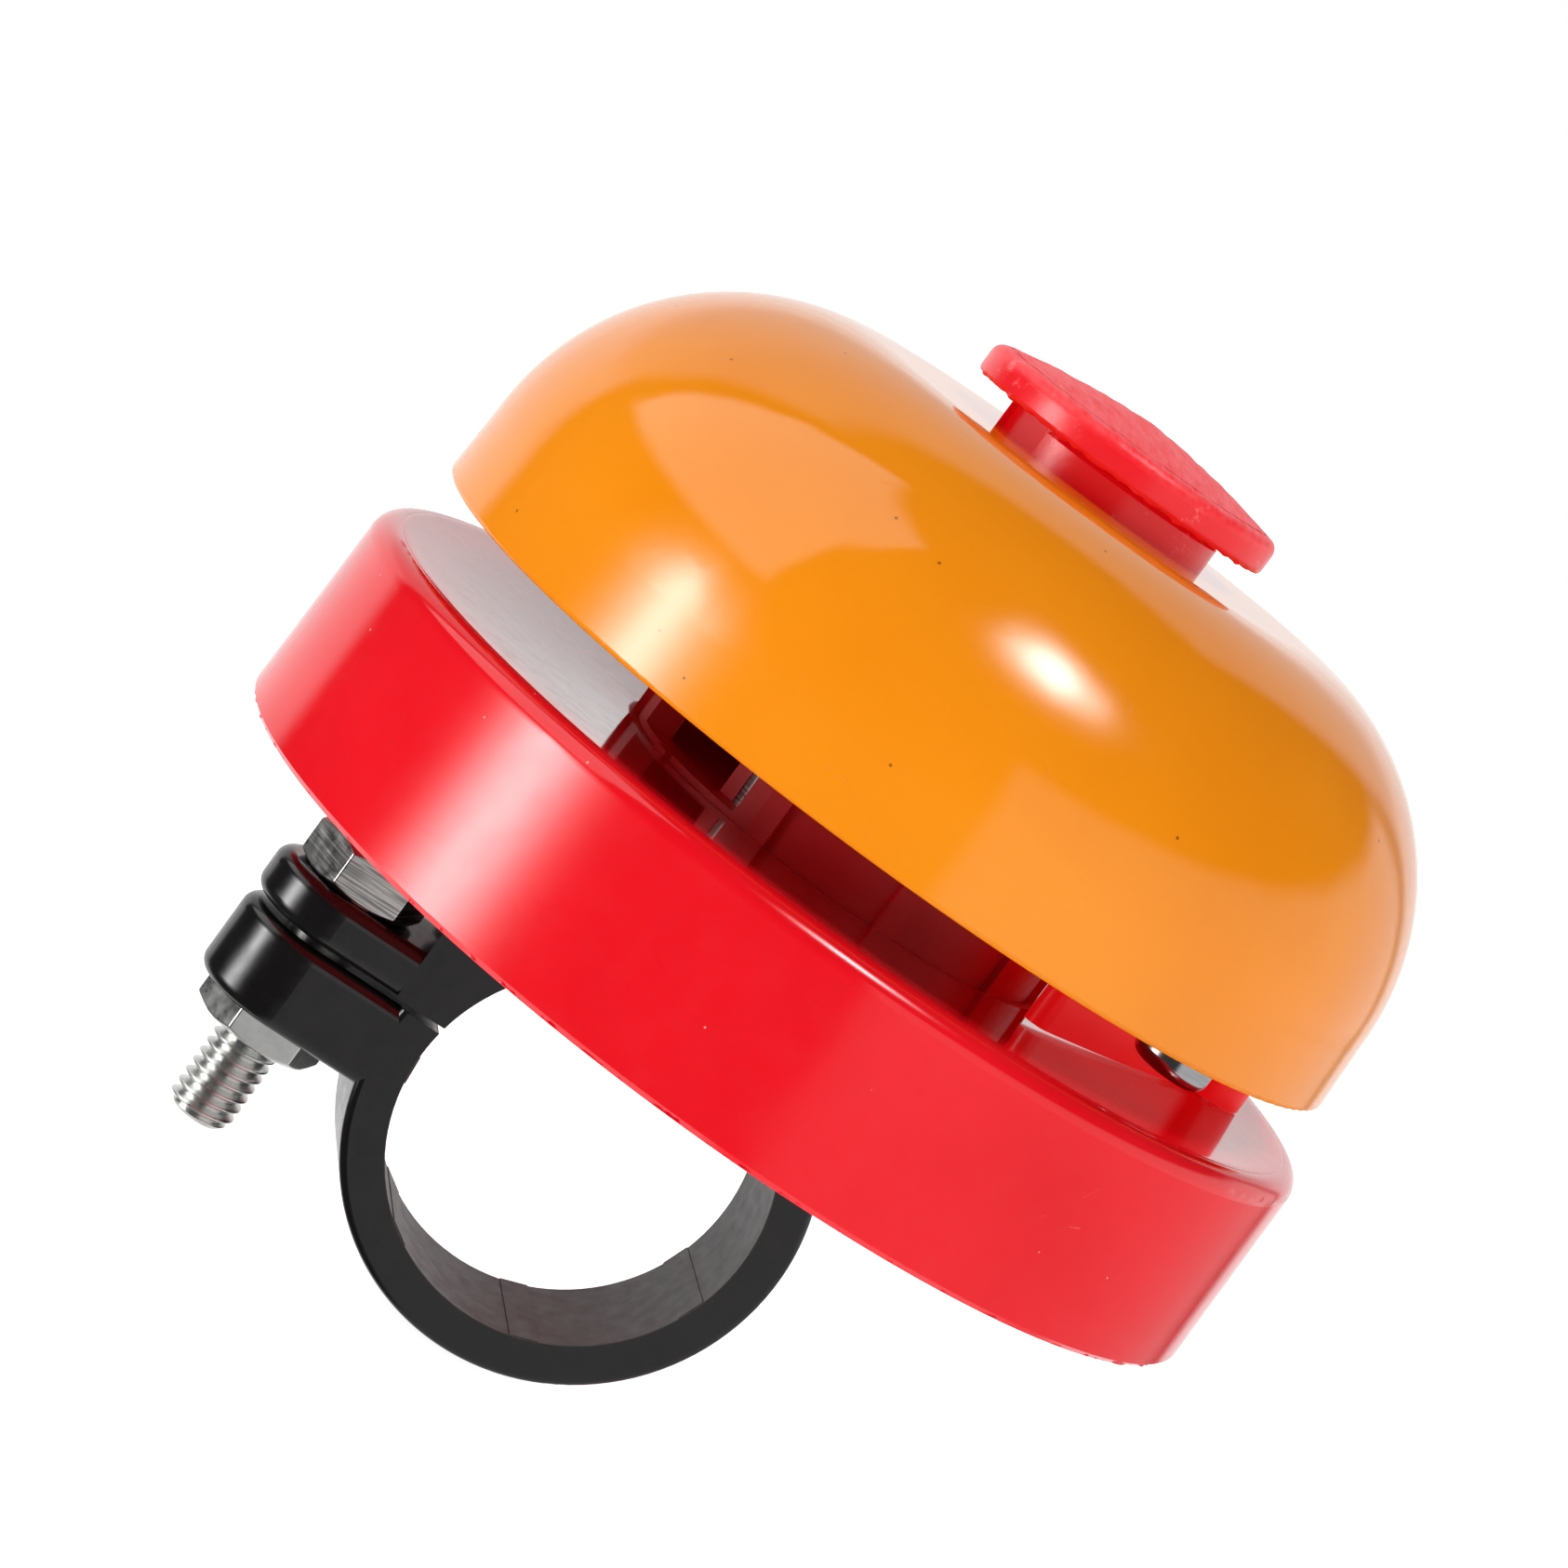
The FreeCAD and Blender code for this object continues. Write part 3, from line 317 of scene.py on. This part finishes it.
def zinc_plate():
    """Cold-formed steel under bright zinc: pale metal with a soft mottle. The bolt's head keeps grey
    lines across its flats from the die."""
    made, tree, place = new_material("zinc_plate")
    mottle = node(tree, "TexNoise", "Fac", Vector=place, Scale=1 / (0.8 * MM), Detail=4.0, Roughness=0.6)
    tint = node(tree, "MapRange", Value=mottle, From_Min=0.3, From_Max=0.7)
    colour = node(tree, "Mix", 2, data_type="RGBA", in0=tint, in6="D8DAD8", in7="F0F0EC")
    gloss = node(tree, "MapRange", Value=mottle, From_Min=0.3, From_Max=0.75, To_Min=0.24, To_Max=0.42)
    across = node(tree, "Mapping", Vector=place, Scale=(0.04, 0.04, 1))
    lines = node(tree, "TexNoise", "Fac", Vector=across, Scale=1 / (0.13 * MM), Detail=2.0)
    streaks = node(tree, "MapRange", Value=lines, From_Min=0.4, From_Max=0.6, To_Min=0.75, To_Max=0.0)
    height = node(tree, "SeparateXYZ", "Z", Vector=place)
    head = node(tree, "Math", operation="GREATER_THAN", in0=height, in1=extent("clamp_nut")[1][2] * MM)
    flats = node(tree, "MapRange", Value=reach_from(tree, place, BOLT),
                 From_Min=(BOLT_RADIUS + 0.2) * MM, From_Max=(BOLT_RADIUS + 0.5) * MM)
    flats = node(tree, "Math", operation="MULTIPLY", in0=head, in1=flats)
    streaks = node(tree, "Math", operation="MULTIPLY", in0=streaks, in1=flats)
    colour = node(tree, "Mix", 2, data_type="RGBA", in0=streaks, in6=colour, in7="7C7B79")
    bumped = node(tree, "Bump", Height=lines, Distance=0.003 * MM)
    shader = node(tree, "BsdfPrincipled", Base_Color=colour, Roughness=gloss, Normal=bumped, Metallic=1.0)
    node(tree, "OutputMaterial", Surface=shader)
    return made


def turned_steel():
    """Bright steel straight from the lathe: fine rings round its axis."""
    made, tree, place = new_material("turned_steel")
    across = node(tree, "Mapping", Vector=place, Scale=(0.05, 0.05, 1))
    rings = node(tree, "TexNoise", "Fac", Vector=across, Scale=1 / (0.1 * MM), Detail=2.0)
    colour = node(tree, "Mix", 2, data_type="RGBA", in0=rings, in6="B4B6B8", in7="D6D7D8")
    bumped = node(tree, "Bump", Height=rings, Distance=0.004 * MM)
    shader = node(tree, "BsdfPrincipled", Base_Color=colour, Roughness=0.16, Normal=bumped, Metallic=1.0)
    node(tree, "OutputMaterial", Surface=shader)
    return made


def spring_wire():
    """Drawn spring wire: greyer steel with fine die marks and a trace of oil."""
    made, tree, place = new_material("spring_wire")
    marks = node(tree, "TexNoise", "Fac", Vector=place, Scale=1 / (0.25 * MM), Detail=3.0)
    colour = node(tree, "Mix", 2, data_type="RGBA", in0=marks, in6="8E8F90", in7="B2B2B0")
    gloss = node(tree, "MapRange", Value=marks, From_Min=0.3, From_Max=0.7, To_Min=0.2, To_Max=0.35)
    shader = node(tree, "BsdfPrincipled", Base_Color=colour, Roughness=gloss, Metallic=1.0)
    node(tree, "OutputMaterial", Surface=shader)
    return made


def seat_rubber():
    """Matt black rubber washer with a powdery bloom."""
    made, tree, place = new_material("seat_rubber")
    bloom = node(tree, "TexNoise", "Fac", Vector=place, Scale=1 / (1.5 * MM), Detail=4.0)
    colour = node(tree, "Mix", 2, data_type="RGBA", in0=bloom, in6="1A1A1A", in7="303030")
    bumped = node(tree, "Bump", Height=bloom, Distance=0.02 * MM)
    shader = node(tree, "BsdfPrincipled", Base_Color=colour, Roughness=0.8, Normal=bumped)
    node(tree, "OutputMaterial", Surface=shader)
    return made


def studio_paper():
    """White background paper, even and matt."""
    made, tree, place = new_material("studio_paper")
    fibre = node(tree, "TexNoise", "Fac", Vector=place, Scale=1 / (60 * MM), Detail=2.0)
    colour = node(tree, "Mix", 2, data_type="RGBA", in0=fibre, in6="F6F6F6", in7="FAFAFA")
    shader = node(tree, "BsdfPrincipled", Base_Color=colour, Roughness=0.9, Emission_Color="FFFFFF",
                  Emission_Strength=0.9)
    node(tree, "OutputMaterial", Surface=shader)
    return made


# ---- surfaces -----------------------------------------------------------------------------------
def eased(corners, cuts, closed=False, steps=4):
    """Outline with rounded corners. Corner P becomes the curve (1-t)^2 A + 2t(1-t) P + t^2 B, where A
    and B lie a cut length from P on its two sides; a guard point beside each keeps smooth shading on
    the rounding. corners is (count, 2) or (count, sides, 2); the ends of an open outline stay sharp."""
    corners = np.asarray(corners, float)
    shape = (-1,) + (1,) * (corners.ndim - 1)
    cuts = np.reshape(cuts, shape)
    towards_last = np.roll(corners, 1, axis=0) - corners
    towards_next = np.roll(corners, -1, axis=0) - corners
    towards_last /= np.maximum(np.linalg.norm(towards_last, axis=-1, keepdims=True), 1e-9)
    towards_next /= np.maximum(np.linalg.norm(towards_next, axis=-1, keepdims=True), 1e-9)
    first = corners + towards_last * cuts
    second = corners + towards_next * cuts
    t = np.linspace(0, 1, steps + 1).reshape((-1, 1) + (1,) * (corners.ndim - 1))
    curve = (1 - t) ** 2 * first + 2 * t * (1 - t) * corners + t ** 2 * second
    guards = corners + towards_last * cuts * 1.4, corners + towards_next * cuts * 1.4
    rows = np.concatenate([guards[0][None], curve, guards[1][None]])
    if closed:
        return np.swapaxes(rows, 0, 1).reshape((-1,) + corners.shape[1:])
    middle = np.swapaxes(rows[:, 1:-1], 0, 1).reshape((-1,) + corners.shape[1:])
    return np.concatenate([corners[:1], middle, corners[-1:]])


def turned(outline, angles, centre):
    """Points of an outline turned about an upright axis: radius r and height z at angle a give
    (r cos a, r sin a, z) from the centre. outline is (rows, 2), or (rows, angles, 2)."""
    if outline.ndim == 2:
        outline = np.repeat(outline[:, None], len(angles), axis=1)
    radius, height = outline[..., 0], outline[..., 1]
    return np.stack([centre[0] + radius * np.cos(angles), centre[1] + radius * np.sin(angles), height], -1)


def skin(points, closed=False):
    """Vertices and faces of a grid (rows, sides, 3) that is closed round its sides. closed joins the
    last row to the first; an end row that is one point becomes a pole of triangles."""
    rows, sides = points.shape[:2]
    index = np.arange(rows * sides).reshape(rows, sides)
    for row in (0, rows - 1):
        if np.ptp(points[row], axis=0).max() < 1e-7:
            index[row] = index[row, 0]
    below = index if closed else index[:-1]
    above = np.roll(index, -1, axis=0) if closed else index[1:]
    quads = np.stack([below, np.roll(below, -1, 1), np.roll(above, -1, 1), above], -1).reshape(-1, 4)
    low_pole = quads[:, 0] == quads[:, 1]
    high_pole = quads[:, 2] == quads[:, 3]
    used, packed = np.unique(quads, return_inverse=True)
    packed = packed.reshape(quads.shape)
    faces = packed[~(low_pole | high_pole)].tolist()
    faces += packed[low_pole][:, [0, 2, 3]].tolist() + packed[high_pole][:, [0, 1, 2]].tolist()
    return points.reshape(-1, 3)[used], faces


def add_piece(name, surface, body, slot, stands_for=()):
    """Smooth mesh of (vertices in mm, faces) that rides on a body in a slot's material."""
    vertices, faces = surface
    mesh = bpy.data.meshes.new(name)
    mesh.from_pydata((np.asarray(vertices) * MM).tolist(), [], faces)
    mesh.polygons.foreach_set("use_smooth", np.ones(len(faces), bool))
    mesh.materials.append(materials[slot])
    made = bpy.data.objects.new(name, mesh)
    bpy.context.scene.collection.objects.link(made)
    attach(made, body)
    if stands_for:
        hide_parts(*stands_for)
    return made


def ripple(x, y, size, seed, waves=24):
    """Random relief between about -1 and 1: a sum of sines in random directions, size mm long."""
    draw = np.random.default_rng(seed)
    heading = draw.uniform(0, TURN, waves)
    pace = TURN / (size * draw.uniform(0.7, 1.8, waves))
    shift = draw.uniform(0, TURN, waves)
    total = np.zeros(np.broadcast(x, y).shape)
    for turn, step, start in zip(heading, pace, shift):
        total += np.sin(step * (np.cos(turn) * x + np.sin(turn) * y) + start)
    return total / math.sqrt(waves)


def even_angles(sides):
    """Equal angles round a turn."""
    return np.arange(sides) * TURN / sides


def hexagon_angles():
    """Angles round a hexagon with one close pair at each corner, so that its edges are crisp."""
    corner = np.arange(6) * TURN / 6
    near = math.radians(0.5)
    between = corner[:, None] + np.linspace(8 * near, TURN / 6 - 8 * near, 9)
    pairs = corner[:, None] + np.array((-2.5 * near, -near, near, 2.5 * near))
    return np.sort(np.mod(np.concatenate([between.ravel(), pairs.ravel()]), TURN))


def hexagon_radius(across_flats, angles):
    """Distance from the axis to a hexagon's side at each angle; corners lie on the X axis."""
    from_flat = np.mod(angles, TURN / 6) - TURN / 12
    return across_flats / 2 / np.cos(from_flat)


def thread_depth(height, angles, pitch, crest=0.12):
    """0 on the crest and 1 at the root of a right-hand thread: a zigzag of height / pitch - angle / turn
    with flats at both ends."""
    phase = np.mod(height / pitch - angles / TURN, 1)
    zigzag = np.abs(2 * phase - 1)
    return np.clip((zigzag - crest) / (1 - 2 * crest), 0, 1)


FACE_RADIUS = 0.48 * ACROSS_FLATS
CHAMFER_SLOPE = math.tan(math.radians(30))


def rounds(corners, ones):
    """Outline (rows, sides, 2) from corners of (radius, height), each one number or one per side."""
    return np.stack([np.stack([radius * ones, height * ones], -1) for radius, height in corners])


def hex_side(angles, chamfer_at, upwards):
    """Radius of the hexagon's side, and the height where its chamfer meets it: the 30 degree cone
    that starts at 0.96 of half the flats on the end face."""
    side = hexagon_radius(ACROSS_FLATS, angles)
    drop = (side - FACE_RADIUS) * CHAMFER_SLOPE
    return side, chamfer_at - drop if upwards else chamfer_at + drop


def bolt_surface():
    """Hex bolt: a helical thread below a plain neck, and a head chamfered above and below. The
    thread's radius is the bolt's less its depth times the zigzag, inside a 45 degree cone at the tip."""
    low, high = extent("clamp_bolt")
    tip, top = low[2], high[2]
    seat = top - HEAD_HEIGHT
    neck = tip + THREAD_LENGTH
    angles = hexagon_angles()
    ones = np.ones_like(angles)
    heights = np.linspace(tip + 0.02, neck + 0.2, 300)[:, None]
    fade = np.clip((neck - heights) / 0.9, 0, 1)
    cone = 1.45 + (heights - tip)
    groove = THREAD_ROOT * fade * thread_depth(heights, angles, THREAD_PITCH)
    shank = np.minimum(BOLT_RADIUS - groove, cone)
    shank = np.stack([shank, heights * ones], -1)
    start = rounds([(0, tip), (1.3, tip)], ones)
    side, chamfer = hex_side(angles, top, True)
    seat_chamfer = hex_side(angles, seat, False)[1]
    head = [(BOLT_RADIUS, neck + 0.5), (BOLT_RADIUS, seat), (FACE_RADIUS, seat), (side, seat_chamfer),
            (side, chamfer), (FACE_RADIUS, top), (2.9, top), (2.5, top - 0.25), (0, top - 0.25)]
    head = eased(rounds(head, ones), (0, 0.02, 0.12, 0.1, 0.1, 0.12, 0.1, 0.15, 0), steps=3)
    return skin(turned(np.concatenate([start, shank, head]), angles, BOLT))


def nut_surface():
    """Hex nut: chamfered corners below, chamfered bore, and a helical groove in the bore."""
    low, high = extent("clamp_nut")
    angles = hexagon_angles()
    ones = np.ones_like(angles)
    side, chamfer = hex_side(angles, low[2], False)
    outside = [(2.3, low[2]), (FACE_RADIUS, low[2]), (side, chamfer), (side, high[2]), (2.3, high[2])]
    outside = eased(rounds(outside, ones), (0, 0.12, 0.1, 0.1, 0), steps=3)
    heights = np.linspace(high[2] - 0.25, low[2] + 0.25, 90)[:, None]
    bore = 2.05 + 0.22 * (1 - thread_depth(heights, angles, THREAD_PITCH))
    bore = np.stack([bore, heights * ones], -1)
    return skin(turned(np.concatenate([outside, bore]), angles, BOLT), closed=True)


def cap_surface():
    """Mushroom button: crown height = top - H (0.145 x + 0.285 x^2) at x parts of its radius, a rounded
    rim, a recess and a hollow stem below. Thumb scuffs ripple the crown and its lower edge is ragged."""
    low, high = extent("button_cap")
    radius = width_of("button_cap")
    recess, stem, bore = 7.6, 2.7, 1.5
    stem_low = low[2]
    rim_low = high[2] - RIM_HEIGHT
    ceiling = rim_low + 1.6
    bore_end = ceiling + 0.4
    x = np.linspace(0, 0.9, 46)
    crown = np.stack([radius * x, high[2] - 0.03 - RIM_HEIGHT * (0.145 * x + 0.285 * x ** 2)], -1)
    rim = eased([crown[-1], (radius, high[2] - 1.38), (radius, rim_low), (recess, rim_low),
                 (recess, ceiling), (stem, ceiling), (stem, stem_low), (bore, stem_low),
                 (bore, bore_end), (0, bore_end)],
                (0, 0.75, 0.32, 0.12, 0.3, 0.2, 0.2, 0.1, 0.1, 0), steps=6)
    outline = np.concatenate([crown, rim[1:]])[::-1]
    angles = even_angles(288)
    points = turned(outline, angles, BELL)
    across, along = points[..., 0] - BELL[0], points[..., 1] - BELL[1]
    reach = np.hypot(across, along)
    on_top = np.clip((points[..., 2] - high[2] + 1.75) / 0.5, 0, 1)
    scuffs = ripple(across, along * 0.35, 0.9, 4) * 0.5 + ripple(across, along, 2.6, 5) * 0.5
    fade = np.clip((reach - 0.4) / 1.5, 0, 1)
    points[..., 2] += on_top * fade * (np.clip(scuffs, -1.4, 1.0) - 1.0) * 0.035
    at_edge = np.exp(-((points[..., 2] - rim_low) / 0.12) ** 2) * (reach > 0.93 * radius)
    ragged = np.clip(ripple(across, along, 1.1, 6), -0.2, 1.5)
    points[..., 2] -= at_edge * ragged * 0.09
    return skin(points)


def wire(path, radius, sides=14):
    """Round wire along a path, capped at both ends: at each point the circle lies across the path,
    with its first axis as near upright as it can be."""
    along = np.gradient(path, axis=0)
    along /= np.linalg.norm(along, axis=1, keepdims=True)
    upright = np.array((0.0, 0.0, 1.0)) - along * along[:, 2:3]
    upright /= np.linalg.norm(upright, axis=1, keepdims=True)
    beside = np.cross(along, upright)
    turn = even_angles(sides)[None, :, None]
    ring = np.cos(turn) * beside[:, None] * radius - np.sin(turn) * upright[:, None] * radius
    body = path[:, None] + ring
    ends = [path[:1, None] + 0 * ring[:1], path[:1, None] + 0.8 * ring[:1], body,
            path[-1:, None] + 0.8 * ring[-1:], path[-1:, None] + 0 * ring[-1:]]
    return skin(np.concatenate(ends))


def button_spring_surface():
    """Compression spring with a closed turn at each end: the height rises slowly in the end turns."""
    low, high = extent("button_spring")
    mean = width_of("button_spring") - SPRING_WIRE_RADIUS
    t = np.linspace(0, SPRING_TURNS, 500)
    rise = high[2] - low[2] - 2 * SPRING_WIRE_RADIUS
    closed = 2.2 * SPRING_WIRE_RADIUS
    height = np.interp(t, (0, 1, SPRING_TURNS - 1, SPRING_TURNS), (0, closed, rise - closed, rise))
    path = np.stack([BELL[0] + mean * np.cos(TURN * t), BELL[1] + mean * np.sin(TURN * t),
                     low[2] + SPRING_WIRE_RADIUS + height], -1)
    return wire(path, SPRING_WIRE_RADIUS)


def drum_flash_surface():
    """Rough parting line round the drum's foot: a thin lip whose overhang varies round the edge."""
    foot = extent("base_cup")[0][2]
    radius = width_of("base_cup")
    angles = even_angles(720)
    x, y = radius * np.cos(angles), radius * np.sin(angles)
    rough = np.clip(0.5 + 0.5 * ripple(x, y, 2.2, 8) + 0.35 * ripple(x, y, 0.7, 9), 0.05, 1.4)
    edge = radius - 0.42 + 0.2 * rough
    rows = [(radius - 0.5, foot + 0.08), (edge, foot + 0.06), (edge + 0.02, foot + 0.11),
            (radius - 0.25, foot + 0.24)]
    outline = rounds(rows, np.ones_like(angles))
    return skin(turned(outline, angles, axis_of("base_cup")), closed=True)


def dish_surface():
    """Glossy floor of the drum from the housing to its lip, one smooth shallow dish. At u parts of the
    way out it has risen by depth (u + swell u (1 - u)), a hair above the moulding it covers."""
    lip_top = extent("base_cup")[0][2] + LIP_HEIGHT
    bottom = lip_top - FLOOR_DEPTH
    inside, outside = 13.6, 30.25
    swell, hair = 0.1, 0.008
    u = np.linspace(0, 1, 60)
    rise = FLOOR_DEPTH * (u + swell * u * (1 - u))
    top = np.stack([inside + (outside - inside) * u, bottom + hair + rise], -1)
    lip = [(30.5, lip_top + hair), (30.7, lip_top - 0.01)]
    under = [(30.6, lip_top - 0.1), (29.9, bottom + 0.8), (15.2, bottom - 0.1), (inside, bottom - 0.1)]
    outline = np.concatenate([under[::-1], top, lip])
    return skin(turned(outline, even_angles(360), BELL), closed=True)


# ---- light and floor ---------------------------------------------------------------------------
def add_floor(material):
    """Wide level light table under the bell. Gloss doesn't show it, so that it is plain and even."""
    lowest = cad_box[0][2] - 0.0002
    reach = 6.0
    corners = (-reach, -reach), (reach, -reach), (reach, reach), (-reach, reach)
    points = [(x, y, lowest) for x, y in corners]
    mesh = bpy.data.meshes.new("floor")
    mesh.from_pydata(points, [], [(0, 1, 2, 3)])
    mesh.materials.append(material)
    floor = bpy.data.objects.new("floor", mesh)
    floor.visible_glossy = False
    bpy.context.scene.collection.objects.link(floor)


# Light of the room, in degrees round the bell (azimuth 0 is the front, 90 the right). A lamp is a soft
# round spot: middle azimuth and elevation, spread each way, brightness. A panel is even with soft
# edges: middle azimuth and elevation, half width and half height, softness, brightness.
LAMPS = (
    ("key", -75, -9, 10.5, 14, 14.0),
    ("key_core", -75, 2, 5, 7, 6.0),
    ("top", 9, 62, 16, 8, 27.0),
)
PANELS = (
    ("left_panel", -97, 44, 35, 27, 5, 1.7),
    ("right_wall", 70, 9, 68, 19, 7, 0.85),
    ("right_table", 70, -45, 68, 43, 12, 0.6),
)
BACKDROPS = (
    ("backdrop", 180, -36, 46, 56, 8, 0.95),
    ("backdrop_top", 180, 36, 46, 24, 8, 0.65),
)
ROOM = 0.05


def lamp_glow(tree, azimuth, elevation, lamp):
    """Brightness of a lamp towards two angle sockets: P exp(-(a / wide)^2 - (e / tall)^2)."""
    _, middle, height, wide, tall, brightness = lamp
    squares = []
    for angle, centre, spread in ((azimuth, middle, wide), (elevation, height, tall)):
        away = node(tree, "Math", operation="SUBTRACT", in0=angle, in1=centre)
        away = node(tree, "Math", operation="DIVIDE", in0=away, in1=spread)
        squares.append(node(tree, "Math", operation="MULTIPLY", in0=away, in1=away))
    power = node(tree, "Math", operation="ADD", in0=squares[0], in1=squares[1])
    power = node(tree, "Math", operation="MULTIPLY", in0=power, in1=-1.0)
    falloff = node(tree, "Math", operation="EXPONENT", in0=power)
    return node(tree, "Math", operation="MULTIPLY", in0=falloff, in1=brightness)


def panel_glow(tree, azimuth, elevation, panel):
    """Brightness of a panel towards two angle sockets: even, and smooth to 0 at its edges."""
    _, middle, height, half_width, half_height, edge, brightness = panel
    masks = []
    for angle, centre, half in ((azimuth, middle, half_width), (elevation, height, half_height)):
        away = node(tree, "Math", operation="SUBTRACT", in0=angle, in1=centre)
        away = node(tree, "Math", operation="ABSOLUTE", in0=away)
        masks.append(node(tree, "MapRange", interpolation_type="SMOOTHSTEP", Value=away,
                          From_Min=half - edge, From_Max=half, To_Min=1.0, To_Max=0.0))
    both = node(tree, "Math", operation="MULTIPLY", in0=masks[0], in1=masks[1])
    return node(tree, "Math", operation="MULTIPLY", in0=both, in1=brightness)


def add_light():
    """Dark room with soft lights and a white backdrop; what the camera sees behind the bell is white."""
    world = bpy.data.worlds.new("room")
    world.use_nodes = True
    tree = world.node_tree
    tree.nodes.clear()
    direction = node(tree, "TexCoord", "Generated")
    parts = node(tree, "SeparateXYZ", Vector=direction).node.outputs
    front = node(tree, "Math", operation="MULTIPLY", in0=parts["Y"], in1=-1.0)
    azimuth = node(tree, "Math", operation="ARCTAN2", in0=parts["X"], in1=front)
    azimuth = node(tree, "Math", operation="DEGREES", in0=azimuth)
    elevation = node(tree, "Math", operation="ARCSINE", in0=parts["Z"])
    elevation = node(tree, "Math", operation="DEGREES", in0=elevation)
    behind = node(tree, "Math", operation="ABSOLUTE", in0=azimuth)
    glows = [panel_glow(tree, behind, elevation, backdrop) for backdrop in BACKDROPS]
    glows += [panel_glow(tree, azimuth, elevation, panel) for panel in PANELS]
    glows += [lamp_glow(tree, azimuth, elevation, lamp) for lamp in LAMPS]
    total = ROOM
    for glow in glows:
        total = node(tree, "Math", operation="ADD", in0=total, in1=glow)
    room = node(tree, "Background", Strength=total, Color="FFFFFF")
    white = node(tree, "Background", Strength=1.0, Color="FFFFFF")
    seen = node(tree, "LightPath", "Is Camera Ray")
    both = node(tree, "MixShader", in0=seen, in1=room, in2=white)
    node(tree, "OutputWorld", Surface=both)
    bpy.context.scene.world = world
    bpy.context.scene.view_settings.view_transform = "Standard"


add_camera()
add_light()

materials = {
    "dome_lacquer": lacquered_steel(),
    "red_moulding": polished_abs(),
    "red_arm": clear_red_arm(),
    "red_button": rubbed_button(),
    "black_clamp": moulded_nylon(),
    "zinc_steel": zinc_plate(),
    "bright_steel": turned_steel(),
    "spring_steel": spring_wire(),
    "seat_rubber": seat_rubber(),
}
for row in frame["record"]["subparts"]:
    mesh = frame["nodes"][row["node"]].data
    mesh.materials.clear()
    # The ring nut takes the button's material, and with it the painted glow that lifts it in the cap's
    # shade.
    slot = "red_button" if row["node"] == "dome_ring_nut" else row["material_slot"]
    mesh.materials.append(materials[slot])
add_floor(studio_paper())

add_piece("clamp_bolt_threaded", bolt_surface(), "clamp_bolt", "zinc_steel", ("clamp_bolt",))
add_piece("clamp_nut_threaded", nut_surface(), "frame", "zinc_steel", ("clamp_nut",))
add_piece("button_cap_scuffed", cap_surface(), "button", "red_button", ("button_cap",))
coil = add_piece("button_spring_coil", button_spring_surface(), "frame", "spring_steel", ("button_spring",))
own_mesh(coil)
add_piece("drum_dish", dish_surface(), "frame", "red_moulding")
add_piece("drum_flash", drum_flash_surface(), "frame", "red_moulding")
